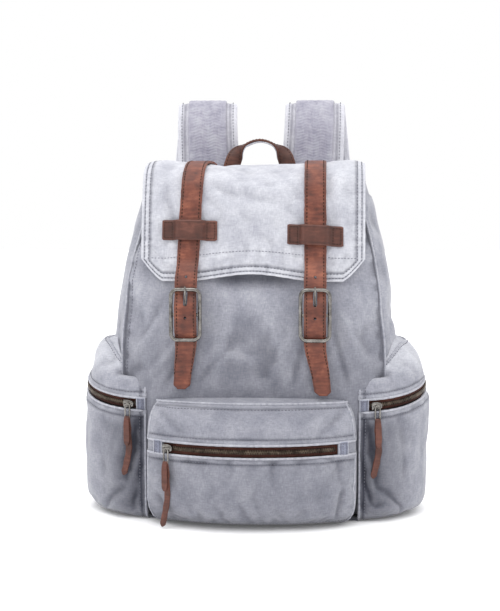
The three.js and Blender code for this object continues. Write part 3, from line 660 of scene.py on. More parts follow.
def stitch_parts(path, normals, pitch=3.6, length=2.4, width=0.9, lift=0.15):
    """A row of stitches along a path of points on a surface, each a short flattened bead."""
    normals = np.asarray(normals, float)
    at, ahead, want, reach = even_steps(path, pitch)
    out = unit(np.stack([np.interp(want, reach, normals[:, k]) for k in range(3)], axis=-1))
    side = unit(np.cross(ahead, out))
    parts = []
    profile = [(-0.5, 0.35, -0.5), (-0.28, 1.0, 0.0), (0.28, 1.0, 0.0), (0.5, 0.35, -0.5)]
    ring = round_section(1, 6)
    for p, a, s, o in zip(at, ahead, side, out):
        corners = []
        for along, size, drop in profile:
            centre = p + a * along * length + o * (lift + drop * width * 0.5)
            corners.append(centre + size * width / 2 * (ring[:, :1] * s + ring[:, 1:] * o))
        faces = grid_faces(4, 6, 0, True, True)
        faces += [list(range(6)), list(range(18, 24))[::-1]]
        parts.append((np.concatenate(corners), faces))
    return parts


def sewn(name, rows_of_stitches, material, body, slot):
    """All the stitches of a piece as one mesh."""
    corners, faces = merged([part for row in rows_of_stitches for part in row])
    return place_piece(name, corners, faces, material, body, slot)


def on_grid(points, u, v):
    """Points of a grid at fractions u across and v along, between its own points."""
    rows, cols = points.shape[:2]
    x = np.clip(np.asarray(u, float), 0, 1) * (cols - 1)
    y = np.clip(np.asarray(v, float), 0, 1) * (rows - 1)
    x, y = np.broadcast_arrays(x, y)
    c, r = np.minimum(x.astype(int), cols - 2), np.minimum(y.astype(int), rows - 2)
    fx, fy = (x - c)[..., None], (y - r)[..., None]
    return lerp(lerp(points[r, c], points[r, c + 1], fx),
                lerp(points[r + 1, c], points[r + 1, c + 1], fx), fy)


def row_on(points, u, v, wrap=False, centre=None):
    """A path on a grid, with the surface's normals along it."""
    normals, _ = outward(points, wrap, centre)
    return on_grid(points, u, v), unit(on_grid(normals, u, v))


# How heavy canvas stretches and bends: kilograms a point, then its springs and their damping.
CLOTH = dict(quality=6, mass=0.15, tension_stiffness=20, compression_stiffness=20,
             shear_stiffness=8, bending_stiffness=0.6, tension_damping=8, compression_damping=8,
             shear_damping=8, bending_damping=1)


def settle(points, pinned, push, slack, cap, wrap=False, centre=None, steps=18, most=4200):
    """Lets cloth with some slack, pinned where it is sewn, swell and buckle into its own folds.
    It works on every few points of the grid, and the rest follow their neighbours."""
    rows, cols = points.shape[:2]
    stride = max(1, math.ceil(math.sqrt(rows * cols / most)))
    r = np.unique(np.linspace(0, rows - 1, max(rows // stride, 8)).round().astype(int))
    c = np.unique(np.linspace(0, cols - (cols / (cols // stride) if wrap else 1),
                              max(cols // stride, 8)).round().astype(int))
    coarse = points[np.ix_(r, c)]
    _, turned = outward(points, wrap, centre)
    mesh = bpy.data.meshes.new("cloth")
    mesh.from_pydata((coarse.reshape(-1, 3) * MM).tolist(), [],
                     grid_faces(len(r), len(c), 0, wrap, turned))
    cloth = bpy.data.objects.new("cloth", mesh)
    bpy.context.scene.collection.objects.link(cloth)
    pins = cloth.vertex_groups.new(name="pins")
    pinned = np.broadcast_to(pinned, (rows, cols))
    pins.add(np.flatnonzero(pinned[np.ix_(r, c)].ravel()).tolist(), 1.0, "REPLACE")
    modifier = cloth.modifiers.new("cloth", "CLOTH")
    s = modifier.settings
    for setting, value in CLOTH.items():
        setattr(s, setting, value)
    s.shrink_min = -slack
    s.use_pressure = True
    s.uniform_pressure_force = push
    s.vertex_group_mass = "pins"
    s.effector_weights.gravity = 0
    modifier.collision_settings.use_collision = False
    modifier.point_cache.frame_start, modifier.point_cache.frame_end = 1, steps
    for step in range(1, steps + 1):
        bpy.context.scene.frame_set(step)
    settled = cloth.evaluated_get(bpy.context.evaluated_depsgraph_get())
    now = np.zeros(len(r) * len(c) * 3)
    settled.data.vertices.foreach_get("co", now)
    bpy.data.objects.remove(cloth)
    bpy.data.meshes.remove(mesh)
    bpy.context.scene.frame_set(1)
    moved = now.reshape(len(r), len(c), 3) / MM - coarse
    if wrap:
        moved, c = np.concatenate([moved, moved[:, :1]], axis=1), np.append(c, cols)
    u = np.interp(np.arange(cols), c, np.linspace(0, 1, len(c)))[None]
    v = np.interp(np.arange(rows), r, np.linspace(0, 1, len(r)))[:, None]
    moved = softened(on_grid(moved, u, v), stride, wrap) * ~pinned[..., None]
    far = np.linalg.norm(moved, axis=-1, keepdims=True)
    return points + moved * np.minimum(1, cap * np.tanh(far / cap) / np.maximum(far, 1e-6))


def even_to_ends(count, crowd):
    """Fractions from 0 to 1, closer together near both ends."""
    t = np.linspace(0, 1, count)
    return lerp(t, 0.5 - 0.5 * np.cos(math.pi * t), crowd)

# ---- The sack ----
SACK_LEVELS = np.concatenate([np.linspace(4.8, 16, 7)[:-1], np.linspace(16, 352, 112)[:-1],
                              np.linspace(352, MOUTH, 8)])
AROUND = 300

# Folds: where each starts and ends, across and up, its width and its height (below zero: a hollow).
SACK_FOLDS = [
    ((-62, 214), (-112, 158), 4, 1.6), ((-58, 202), (-96, 146), 4, -1.5),
    ((-52, 236), (-84, 150), 5, 1.4), ((-22, 236), (-42, 146), 6, 1.3),
    ((-6, 214), (-58, 152), 4, -1.2), ((14, 240), (40, 150), 6, 1.4),
    ((4, 222), (24, 148), 5, -1.2), ((46, 214), (18, 150), 4, 1.3),
    ((58, 206), (42, 148), 4, -1.4), ((92, 232), (118, 176), 5, 1.7),
    ((86, 214), (104, 150), 4, -1.6), ((-94, 244), (-124, 196), 5, -1.4),
    ((-128, 330), (-140, 240), 7, 2.0), ((124, 330), (142, 236), 8, 2.2),
    ((112, 316), (132, 250), 7, -1.8), ((-40, 190), (36, 168), 5, 1.1),
]


def sack_skin():
    """The sack's cloth all round: its plain shape, then sag and folds, then what sewing does."""
    angle = np.linspace(0, 2 * math.pi, AROUND, endpoint=False)[None]
    z = SACK_LEVELS[:, None]
    points = sack_point(angle, z)
    rise = (rim_z(angle) - MOUTH) * smooth(z, MOUTH - 60, MOUTH)
    points[..., 2] += rise
    normals, _ = outward(points, True)
    x, height = points[..., 0], points[..., 2]
    ahead = points[..., 1] < -20
    girth = np.degrees(angle) * 2.4 + 0 * z
    loose = smooth(z, 12, 60) * (1 - smooth(z, 330, 366))
    relief = 0.6 * ripple(girth, height * 0.55, size=95, seed=11) * loose
    relief += 0.5 * ripple(girth * 0.9, height * 0.5, size=38, seed=12) * loose
    front = ahead * smooth(-points[..., 1], 20, 45)
    relief = add_folds(relief, x, height, SACK_FOLDS, front)
    gape = np.exp(-((x / 52) ** 4)) * bell(height - 262, 13)
    relief = (relief - 3.2 * gape * ahead) * (1 - smooth(points[..., 1], 50, 66))
    seams = [math.radians(a) for a in seam_angles()]
    for s in seams:
        off = np.abs((angle - s + math.pi) % (2 * math.pi) - math.pi) * half_width(z)
        relief += 0.7 * bell(off, 3.5) * loose
        relief += (0.7 * ripple(height, size=17, seed=5) * bell(off, 13)
                   * smooth(off, 1, 5)) * loose
    points = points + normals * relief[..., None]
    held = (z < 14) | (z > 346) | (points[..., 1] > 62)
    for s in seams:
        held = held | (np.abs((angle - s + math.pi) % (2 * math.pi) - math.pi) < 0.018)
    return settle(points, held, push=1.2, slack=0.02, cap=3.5, wrap=True)


def seam_angles():
    """Degrees round the plan, from +X: front seams, then back seams."""
    return [-90 - FRONT_SEAM, -90 + FRONT_SEAM, 90 - BACK_SEAM, 90 + BACK_SEAM]


def column_at(degrees):
    return int(round((degrees % 360) / 360 * AROUND))


def sack_piece(name, skin, start, end, replaced, centre):
    """One panel: the columns from one seam to the next, with a fair edge at both."""
    columns = np.arange(column_at(start), column_at(end) + (AROUND if end % 360 < start % 360 else 0) + 1)
    part = skin[:, columns % AROUND]
    n = len(columns)
    edge = np.minimum(np.arange(n), np.arange(n)[::-1]) * 3.0
    wear = 0.5 * np.exp(-(edge / 3.0) ** 2)[None] + 0 * part[..., 0]
    top = smooth(SACK_LEVELS, 358, MOUTH)[:, None]
    x, z = part[..., 0], part[..., 2]
    ahead = part[..., 1] < -40
    # painted shadow in the gap under the flap's arched hem, and painted shade darker towards the front's
    # foot
    under = np.exp(-((x / 42) ** 4)) * bell(z - 266, 8) * ahead
    low = 0.36 * (1 - smooth(z, 140, 250)) * ahead
    return shell(name, part, SACK_WALL, canvas, "bag", "washed_canvas", (replaced,),
                 wear=np.clip(wear * 0.4 + top * 0.3, 0, 0.8), shade=low + 0.6 * under, centre=centre)


def add_sack():
    skin = sack_skin()
    fl, fr, br, bl = seam_angles()
    middle = (0, 0, 190)
    sack_piece("sack_front", skin, fl, fr, "front_panel", middle)
    sack_piece("sack_side_right", skin, fr, br, "side_panel_right", middle)
    sack_piece("sack_back", skin, br, bl, "back_panel", middle)
    sack_piece("sack_side_left", skin, bl, 360 + fl, "side_panel_left", middle)
    add_sack_seams(skin)
    add_base()
    return skin


def add_sack_seams(skin):
    """Each seam is laid to one side and sewn down, so it shows a low ridge and a line of stitches."""
    rows = []
    for i, degrees in enumerate(seam_angles()):
        column = column_at(degrees)
        path, normals = skin[8:-3, column % AROUND], outward(skin, True)[0][8:-3, column % AROUND]
        rolled("sack_seam_%d" % (i + 1), path + normals * 0.1, 1.3, squash=0.6,
               hint=tuple(normals.mean(0)), wear=0.12)
        for step in (3, -3):
            beside = skin[8:-3, (column + step) % AROUND]
            out = outward(skin, True)[0][8:-3, (column + step) % AROUND]
            if step > 0 or i > 1:
                rows.append(stitch_parts(beside, out, lift=0.1))
    column = np.arange(AROUND + 1) % AROUND
    for drop in (4,):
        path = skin[-drop, column]
        rows.append(stitch_parts(path, outward(skin, True)[0][-drop, column]))
    sewn("sack_stitches", rows, thread_grey, "bag", "washed_canvas")


def add_base():
    """The base is a bound oval of the same canvas with a welt round it."""
    rings = []
    angle = np.linspace(0, 2 * math.pi, 120, endpoint=False)
    for z, inset, share in [(4.7, 0.2, 1), (2.6, 0.0, 1), (0.9, 0.6, 1), (0.25, 2.5, 1),
                            (0.15, 8, 1), (0.15, 8, 0.75), (0.3, 8, 0.4), (0.3, 8, 0.05)]:
        ring = sack_point(angle, max(z, 1.2), inset)
        ring[:, :2] = ring[:, :2].mean(0) + (ring[:, :2] - ring[:, :2].mean(0)) * share
        ring[:, 2] = z
        rings.append(ring)
    shell("sack_base", np.array(rings), 1.4, canvas, "bag", "washed_canvas", ("base_panel",),
          wrap=True, centre=(0, 0, 60), shade=0.8)


def add_inside():
    """The loose lining, the stiff board under it and the foam behind it."""
    angle = np.linspace(0, 2 * math.pi, 140, endpoint=False)[None]
    z = np.concatenate([np.linspace(9, 30, 8)[:-1], np.linspace(30, 342, 60)])[:, None]
    wall = sack_point(angle, z, 6.7, 14.9)
    sag = smooth(z, 20, 60) * (1 - smooth(z, 318, 340))
    wall += outward(wall, True)[0] * (np.minimum(
        0.9 * ripple(np.degrees(angle) * 2.4 + 0 * z, z * 0.5, size=42, seed=21), 0) * sag)[..., None]
    bottom = [wall[0] * (1, 1, 0) + (0, 0, 9)]
    centre = bottom[0].mean(0)
    rings = [centre + (bottom[0] - centre) * k for k in (0.03, 0.35, 0.7, 0.93)]
    shell("sack_lining", np.concatenate([np.array(rings), wall[1:]]), 0.9, lining_cotton, "bag",
          "lining_cotton", ("lining",), wrap=True, centre=(0, 0, 190))
    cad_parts["base_board"].data.materials.clear()
    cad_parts["base_board"].data.materials.append(board)
    low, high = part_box("back_foam")
    u, v = np.meshgrid(np.linspace(-1, 1, 40), np.linspace(-1, 1, 60))
    crown = (1 - np.abs(u) ** 6) ** 0.5 * (1 - np.abs(v) ** 8) ** 0.5
    middle, half = (low + high) / 2 / MM, (high - low) / 2 / MM
    faces = []
    for side in (-1, 1):
        grid = np.stack([middle.x + u * half.x * 0.99, middle.y - SHIFT_Y + side * half.y * crown * 0.95,
                         middle.z + v * half.z * 0.99], axis=-1)
        faces.append((grid.reshape(-1, 3), grid_faces(60, 40, 0, False, side < 0)))
    corners, polygons = merged(faces)
    pad = place_piece("back_padding", corners, polygons, foam, "bag", "padding_foam", ("back_foam",))
    weld(pad)


def turn_out(mesh, join=0.0):
    """Turns every face of a closed mesh outwards, and can join corners closer than a distance."""
    made = bmesh.new()
    made.from_mesh(mesh)
    if join:
        bmesh.ops.remove_doubles(made, verts=made.verts, dist=join * MM)
    bmesh.ops.recalc_face_normals(made, faces=made.faces)
    made.to_mesh(mesh)
    made.free()


def weld(piece):
    """Joins corners that fall on each other, so that the piece is one closed skin."""
    turn_out(piece.data, 0.02)


def add_eyelets():
    """Two brass eyelets near the mouth, each with a rounded flange in front and behind."""
    for side in ("left", "right"):
        low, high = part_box("eyelet_" + side)
        x, y, z = (low + high) / 2 / MM
        lean = math.atan2(float(front_y(z + 1) - front_y(z - 1)), 2)
        profile = [(4.0, -1.6), (4.3, -2.1), (5.6, -2.45), (7.4, -2.2), (8, -1.6), (5.2, -1.5),
                   (5.1, 0), (5.2, 1.5), (8, 1.6), (7.4, 2.2), (5.6, 2.45), (4.3, 2.1), (4.0, 1.6),
                   (3.9, 0)]
        turns = np.arange(28) * 2 * math.pi / 28
        ring = np.array([[(r * math.cos(t), y_, r * math.sin(t)) for r, y_ in profile] for t in turns])
        c, s = math.cos(-lean), math.sin(-lean)
        tilted = ring @ np.array([[1, 0, 0], [0, c, s], [0, -s, c]])
        total = len(turns) * len(profile)
        loop = [[i % total for i in quad]
                for quad in grid_faces(len(turns) + 1, len(profile), 0, True)]
        piece = place_piece("eyelet_ring_" + side, tilted.reshape(-1, 3) + (x, y - SHIFT_Y, z), loop,
                            brass, "bag", "antique_brass", ("eyelet_" + side,))
        weld(piece)


sack = add_sack()
add_inside()
add_eyelets()

# ---- The flap ----
FLAP_ACROSS, FLAP_ALONG = 190, 210
FLAP_INSIDE = (0, 20, 250)  # a place under the flap
FACING = 25  # the facing's top line, up from the hem

FLAP_FOLDS = [
    ((-52, 128), (40, 150), 7, 2.0), ((-48, 142), (44, 164), 7, -1.6),
    ((-44, 96), (52, 112), 9, -1.2), ((-20, 170), (36, 214), 8, -1.3),
    ((-110, 110), (-84, 220), 7, 1.6), ((-100, 120), (-78, 210), 6, -1.4),
    ((84, 120), (104, 226), 8, 1.7), ((80, 110), (92, 200), 6, -1.4),
    ((-104, 80), (-66, 128), 7, 1.4), ((104, 84), (74, 130), 7, 1.5),
    ((-46, 168), (50, 206), 6, 1.0), ((-50, 60), (58, 84), 8, 1.2),
]


def flap_relief(s, t, side_gap, hem_gap):
    """Millimetres out of the flap's plain shape, from places across (s) and down (t) it."""
    edge = np.minimum(side_gap, hem_gap)
    out = 0.75 * (1 - smooth(edge, 1.2, 3.2)) + 0.45 * smooth(edge, 3.6, 4.8) * (1 - smooth(edge, 7.2, 8.6))
    out -= 0.35 * bell(edge - 3.5, 0.8) + 0.35 * bell(edge - 8.4, 0.8)
    along = np.where(side_gap < hem_gap, t, s)
    puckers = ripple(along, size=11, seed=31) + 0.6 * ripple(along, size=6, seed=32)
    out += 0.34 * puckers * bell(edge - 6, 6)
    band = np.abs(hem_gap - FACING)
    inside = smooth(side_gap, 9, 14)
    out -= 0.45 * bell(band, 1.2) * inside
    out += 0.4 * ripple(s, size=13, seed=33) * bell(band, 7) * inside
    crown = smooth(t, 60, 120)
    out += 0.9 * ripple(s * 0.7, t, size=70, seed=34) * smooth(edge, 6, 30)
    out += 0.4 * ripple(s, t * 0.8, size=26, seed=35) * smooth(edge, 6, 20)
    out = add_folds(out, s, t, FLAP_FOLDS, smooth(edge, 8, 18))
    return out * lerp(0.45, 1, crown)


def add_flap():
    u = even_to_ends(FLAP_ACROSS, 0.55)[None]
    v = even_to_ends(FLAP_ALONG, 0.5)[:, None]
    across = lerp(-1, 1, u)
    down = v * hem_line(across)
    points = flap_point(across, down)
    s, t = across * FLAP_HALF + 0 * v, down * flap_middle.length
    side_gap = (1 - np.abs(across)) * FLAP_HALF + 0 * v
    hem_gap = (hem_line(across) - down) * flap_middle.length
    normals, _ = outward(points, centre=FLAP_INSIDE)
    points = points + normals * flap_relief(s, t, side_gap, hem_gap)[..., None]
    edge = np.minimum(side_gap, hem_gap)
    strapped = (np.abs(s - lerp(-60, -70, down)) < 9) | (np.abs(s - lerp(66, 68, down)) < 9)
    held = (edge < 9) | (t < 22) | strapped
    points = settle(points, held, push=0.6, slack=0.012, cap=2.2, centre=FLAP_INSIDE)
    worn = 0.42 * (1 - smooth(edge, 1.2, 2.8)) + 0.14 * bell(edge - 6, 2.2)
    patches = np.clip(ripple(s, t, size=16, seed=36), 0, 1)
    worn += 0.22 * patches * bell(hem_gap - 14, 10)
    worn += 0.16 * bell(np.abs(hem_gap - FACING), 2.5) * np.clip(0.5 + patches, 0, 1)
    shade = 0.5 * bell(edge - 9.6, 1.6) + 0.25 * bell(edge - 3.4, 0.7)
    shell("flap_cloth", points, FLAP_WALL - 0.3, pale_canvas, "flap", "washed_canvas_pale",
          ("flap",), wear=np.clip(worn, 0, 1), shade=shade, centre=FLAP_INSIDE)
    add_flap_stitches(points, u[0], v[:, 0])


def flap_place(across, down, u, v):
    """Where a place on the flap lies on its grid, as fractions."""
    gu = np.interp((across + 1) / 2, u, np.linspace(0, 1, len(u)))
    gv = np.interp(down / hem_line(across), v, np.linspace(0, 1, len(v)))
    return gu, gv


def add_flap_stitches(points, u, v):
    """Two rows round the flap's sides and hem, and one along its facing."""
    rows = []
    length = flap_middle.length
    for inset in (3.5, 8.2):
        side = 1 - inset / FLAP_HALF
        left = [(-side, d) for d in np.linspace(0.14, hem_line(-side) - inset / length, 90)]
        hem = [(a, hem_line(a) - inset / length) for a in np.linspace(-side, side, 160)]
        path = np.array(left + hem + [(-a, d) for a, d in left[::-1]])
        gu, gv = flap_place(path[:, 0], path[:, 1], u, v)
        rows.append(stitch_parts(*row_on(points, gu, gv, centre=FLAP_INSIDE)))
    reach = 1 - 10.5 / FLAP_HALF
    a = np.linspace(-reach, reach, 160)
    level = hem_line(a * 0.72) - FACING / length
    gu, gv = flap_place(a, level, u, v)
    rows.append(stitch_parts(*row_on(points, gu, gv, centre=FLAP_INSIDE), width=0.7, lift=0.0))
    sewn("flap_stitches", rows, thread_grey, "flap", "washed_canvas_pale")


add_flap()

# ---- Leather straps with their buckles ----
def band_normals(line, v):
    """Unit vectors out from a leather band's face, square to its run."""
    ahead = line.heading(v)
    return unit(np.stack([0 * v, ahead[:, 2], -ahead[:, 1]], axis=-1))


def leather_band(name, line, width, thick, steps, material, body, slot, replaces=(), shape=None,
                 lift=0.0, side_hint=(1, 0, 0), creases=1.0, across=9, span=(0, 1)):
    """A cut leather strip along a line that runs in the YZ plane, rubbed at its edges."""
    v = np.linspace(*span, steps)
    centres = line.at(v)
    face = band_normals(line, v)
    wide = np.broadcast_to(np.asarray(side_hint, float), face.shape)
    reach = v * line.length
    centres = centres + face * (lift + creases * 0.25 * ripple(reach, size=22, seed=41)[:, None])
    section = strip_section(width, thick, min(thick / 2, 1.0), across)
    scale = np.ones(steps) if shape is None else shape(v)
    scale = scale * (1 + 0.012 * ripple(reach, size=30, seed=42) + 0.006 * ripple(reach, size=9, seed=43))
    corners, faces = sweep_corners(centres, wide, face, section, scale)
    side = np.abs(section[:, 0]) / (width / 2)
    crease = np.clip(ripple(reach, size=7, seed=44), 0, 1) ** 2 * creases
    wear = np.clip(0.75 * smooth(side, 0.93, 1.0)[None] + 0.3 * crease[:, None]
                   + 0.18 * ripple(reach, size=34, seed=45)[:, None] * (1 - side[None] ** 2), 0, 1)
    dark = np.clip(0.35 * smooth(side, 0.80, 0.9)[None] * (1 - smooth(side, 0.93, 1))[None]
                   + 0 * reach[:, None], 0, 1)
    return place_piece(name, corners, faces, material, body, slot, replaces,
                       {"wear": wear, "hollow": dark + 0 * wear})


def closing_line(s):
    """The middle of a closing strap's leather, from the flap's top to its tip."""
    points = []
    for down in [0.06, 0.14, 0.24, 0.33, 0.4, 0.47, 0.54, 0.64, 0.76, 0.9]:
        x = lerp(s["top"], s["buckle"], down)
        height = lerp(1.4, 1.6, smooth(down, 0.2, 0.6)) + STRAP_THICK / 2
        on = flap_point(np.float64(x / FLAP_HALF), np.float64(down)) + flap_normal(down) * height
        points.append((x, on[1], on[2]))
    z = BUCKLE_Z
    under, over = BAR_Y + 2 + 0.5 + STRAP_THICK / 2, BUCKLE_Y - 6
    through = [(-88, z + 38), (under, z + 27.5), (under - 1.2, z + 21.5), (over + 2.2, z + 10),
               (over, z), (over + 2.2, z - 10), (under - 1.2, z - 21.5), (under, z - 27.5),
               (under + 1, z - 38), (-90.4, lerp(z - 38, s["tail_z"], 0.5)), (-91, s["tail_z"])]
    for y, height in through:
        below = smooth(z - 29 - height, 0, z - 29 - s["tail_z"])
        points.append((float(lerp(s["buckle"], s["tail"], below)), y, height))
    return Line(points)


def punch(piece, holes):
    """Cuts round holes and slots; each is x, z, half length and radius, straight back along Y."""
    cutter = bpy.data.meshes.new("punch")
    parts = []
    for x, z, reach, radius in holes:
        turn = np.linspace(0, 2 * math.pi, 20, endpoint=False)
        ring = np.stack([x + radius * np.cos(turn),
                         z + radius * np.sin(turn) + reach * np.sign(np.sin(turn))], axis=-1)
        corners = [(a, y, b) for y in (-112, -80) for a, b in ring]
        faces = grid_faces(2, 20, 0, True) + [list(range(20)), list(range(20, 40))[::-1]]
        parts.append((np.array(corners, float), faces))
    corners, faces = merged(parts)
    cutter.from_pydata(((corners + (0, SHIFT_Y, 0)) * MM).tolist(), [], faces)
    turn_out(cutter)
    tool = bpy.data.objects.new("punch", cutter)
    bpy.context.scene.collection.objects.link(tool)
    modifier = piece.modifiers.new("holes", "BOOLEAN")
    modifier.object, modifier.operation, modifier.solver = tool, "DIFFERENCE", "EXACT"
    cut = bpy.data.meshes.new_from_object(
        piece.evaluated_get(bpy.context.evaluated_depsgraph_get()))
    piece.modifiers.clear()
    piece.data = cut
    bpy.data.objects.remove(tool)
    cut.polygons.foreach_set("use_smooth", [True] * len(cut.polygons))


def add_closing_strap(s):
    """One closing strap with its stitches, its keeper and its buckle."""
    side = s["side"]
    line = closing_line(s)

    def tip(v):
        left = (1 - v) * line.length
        return lerp(0.76, 1, smooth(left, 0, 62)) * np.sqrt(1 - 0.75 * (1 - smooth(left, 0, 5)))

    strap = leather_band("closing_leather_" + side, line, STRAP_WIDTH, STRAP_THICK - 0.2, 260,
                         brown_leather, "flap", "brown_leather", ("closing_strap_" + side,), tip)
    punch(strap, [(s["buckle"], BUCKLE_Z + 17.3, 5.8, 2.2), (s["buckle"], BUCKLE_Z + 40, 0, 1.5),
                  (s["buckle"], BUCKLE_Z - 3, 0, 1.5)])
    v = np.linspace(0.012, 0.955, 400)
    face = band_normals(line, v)
    rows = []
    for offset in (-1, 1):
        path = line.at(v) + face * (STRAP_THICK / 2 - 0.15) + (offset * (STRAP_WIDTH / 2 - 2.8), 0, 0)
        rows.append(stitch_parts(path, face, pitch=3.8, length=2.6, width=1.1, lift=0.1))
    across = np.linspace(-1, 1, 20) * (STRAP_WIDTH / 2 - 3)
    top = line.at(np.full(20, 0.012)) + face[:1] * (STRAP_THICK / 2 - 0.1)
    top[:, 0] += across
    rows.append(stitch_parts(top, np.repeat(face[:1], 20, 0), pitch=3.6, width=0.8, lift=0.0))
    sewn("closing_stitches_" + side, rows, thread_brown, "flap", "brown_leather")
    add_keeper(s)
    add_buckle(s)


KEEPER_WIDTH, KEEPER_HEIGHT, KEEPER_THICK = 60, 22, 2.5


def add_keeper(s):
    """A dark leather loop across the strap, sewn flat at both ends and bowed over the strap."""
    seat = flap_down(s["keeper_z"])
    middle = lerp(s["top"], s["buckle"], seat)
    rise = 1.6 + STRAP_THICK + 1.6
    u, w = even_to_ends(70, 0.4)[None], even_to_ends(30, 0.4)[:, None]
    x = lerp(-KEEPER_WIDTH / 2, KEEPER_WIDTH / 2, u) + 0 * w
    over = 1 - smooth(np.abs(x), STRAP_WIDTH / 2 + 0.5, STRAP_WIDTH / 2 + 7)
    ends = smooth(np.abs(x), KEEPER_WIDTH / 2 - 3, KEEPER_WIDTH / 2)
    tall = KEEPER_HEIGHT * (1 - 0.08 * ends ** 2)
    down = seat + ((w - 0.5) * tall + s["tilt"] * x) / flap_middle.length
    edge = np.minimum(KEEPER_WIDTH / 2 - np.abs(x), KEEPER_HEIGHT / 2 * (1 - np.abs(2 * w - 1)))
    level = KEEPER_THICK + 0.8 + (rise - 0.8) * over - 0.9 * (1 - smooth(edge, 0, 1.6))
    level += 0.2 * ripple(x, w * 22, size=14, seed=51)
    points = flap_point((middle + x) / FLAP_HALF, down) + flap_normal(down) * level[..., None]
    worn = 0.55 * (1 - smooth(edge, 0, 1.4)) + 0.25 * over * (1 - np.abs(2 * w - 1))
    shell("keeper_leather_" + s["side"], points, KEEPER_THICK - 0.8, dark_leather, "flap",
          "dark_leather", ("strap_keeper_" + s["side"],), wear=worn,
          shade=0.3 * bell(edge - 2.6, 0.9), centre=(middle, 0, 300))
    rows = []
    for end in (-1, 1):
        x0, x1 = end * (KEEPER_WIDTH / 2 - 2.6), end * (KEEPER_WIDTH / 2 - 11)
        box = [(x0, 0.12), (x1, 0.12), (x1, 0.88), (x0, 0.88), (x0, 0.12)]
        for (xa, wa), (xb, wb) in zip(box, box[1:]):
            t = np.linspace(0, 1, 14)
            gu = np.interp(lerp(xa, xb, t) / KEEPER_WIDTH + 0.5, u[0], np.linspace(0, 1, 70))
            gw = np.interp(lerp(wa, wb, t), w[:, 0], np.linspace(0, 1, 30))
            rows.append(stitch_parts(*row_on(points, gu, gw, centre=(middle, 0, 300)), pitch=3.0,
                                     length=2.0, width=0.8, lift=0.0))
    sewn("keeper_stitches_" + s["side"], rows, thread_brown, "flap", "dark_leather")


def rounded_loop(width, height, corner, count=96):
    """Points round a rectangle with round corners, in X and Z."""
    w, h = width / 2 - corner, height / 2 - corner
    points = []
    for k, (sx, sz) in enumerate([(1, 1), (-1, 1), (-1, -1), (1, -1)]):
        for t in np.linspace(0, 1, 9):
            a = math.pi / 2 * (k + t)
            points.append((sx * w + corner * math.cos(a), sz * h + corner * math.sin(a)))
    loop = np.array(points + points[:1])
    reach = reach_along(loop)
    want = np.linspace(0, reach[-1], count, endpoint=False)
    return np.stack([np.interp(want, reach, loop[:, k]) for k in (0, 1)], axis=-1)


def add_buckle(s):
    """A buckle's ring and bar, its prong, and the leather loop that holds it."""
    side, x = s["side"], s["buckle"]
    loop = rounded_loop(31, 54, 7)
    path = np.stack([x + loop[:, 0], np.full(len(loop), BAR_Y), BUCKLE_Z + loop[:, 1]], axis=-1)
    wide, face = frames_along(path, (0, -1, 0), closed=True)
    section = round_section(1, 14) * (2.0, 1.7)
    rim = sweep_corners(path, wide, face, section, closed=True)
    bar = cord_parts([(x - 15.5, BUCKLE_Y, BUCKLE_Z), (x - 14, BUCKLE_Y, BUCKLE_Z),
                      (x + 14, BUCKLE_Y, BUCKLE_Z), (x + 15.5, BUCKLE_Y, BUCKLE_Z)], 1.85, 12)
    corners, faces = merged([rim, bar])
    place_piece("buckle_ring_" + side, corners, faces, nickel, "flap", "antique_nickel",
                ("buckle_frame_" + side,))
    y, z = BUCKLE_Y, BUCKLE_Z
    pin = Line([(x, y + 0.4, z + 3.2), (x, y - 0.2, z + 9), (x, y - 0.9, z + 14), (x, y - 2.7, z + 19),
                (x, y - 5.1, z + 23.5), (x, y - 5.7, z + 27), (x, y - 5.5, z + 30.5)])
    v = np.linspace(0, 1, 30)
    path = pin.at(v)
    wide, face = frames_along(path, (0, -1, 0))
    taper = lerp(1.35, 0.95, v) * np.sqrt(np.clip((1.02 - v) / 0.06, 0.1, 1))
    section = round_section(1, 10)[None] * taper[:, None, None]
    shaft = sweep_corners(path, wide, face, section)
    turn = np.linspace(0, 2 * math.pi, 24, endpoint=False)
    eye = np.stack([0 * turn + x, y + 3.05 * np.cos(turn), z + 3.05 * np.sin(turn)], axis=-1)
    wide, face = frames_along(eye, (1, 0, 0), closed=True)
    ring = sweep_corners(eye, wide, face, round_section(1, 10) * (0.75, 1.6), closed=True)
    corners, faces = merged([shaft, ring])
    place_piece("prong_pin_" + side, corners, faces, nickel, "prong_" + side, "antique_nickel",
                ("buckle_prong_" + side,))
    foot = 196
    loop_line = Line([(x, BUCKLE_Y + dy, h) for dy, h in [
        (8.75, foot), (8.75, 206), (7.9, 214), (5.3, 221), (3.2, 226.5), (1.9, 230.2), (-0.4, 231),
        (-2.7, 229.4), (-3.2, 226.8), (-1.5, 224.2), (1.9, 221.6), (4.1, 216.5), (6.1, 210),
        (6.95, 204), (6.95, foot)]])
    loop = leather_band("buckle_loop_" + side, loop_line, 22, 1.5, 90, brown_leather, "flap",
                        "brown_leather", ("buckle_chape_" + side,), creases=0.0)
    punch(loop, [(x, BUCKLE_Z + 1.8, 4.6, 2.6)])
    for node in ("snap_stud_", "snap_socket_"):
        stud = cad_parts[node + side]
        stud.data.materials.clear()
        stud.data.materials.append(nickel)


for closing in CLOSINGS:
    add_closing_strap(closing)

# ---- Pockets ----
def fullness(z, foot, top, low_power, high_power):
    """How far a bellows pocket stands out at a height, from 0 to 1."""
    middle = (foot + top) / 2
    t = np.abs(z - middle) / ((top - foot) / 2 + 0.6)
    return np.maximum(1 - t ** np.where(z < middle, low_power, high_power), 0) ** 0.45


FRONT_TOP, FRONT_FOOT = 138, 1.2
FRONT_HALF, FRONT_CORNER_Y, FRONT_PINCH_Y = 113, -88, -70
FRONT_ARC_HALF, FRONT_RADIUS, FRONT_ARC_Y = 95, 187, 53  # the bow's half width, radius and centre


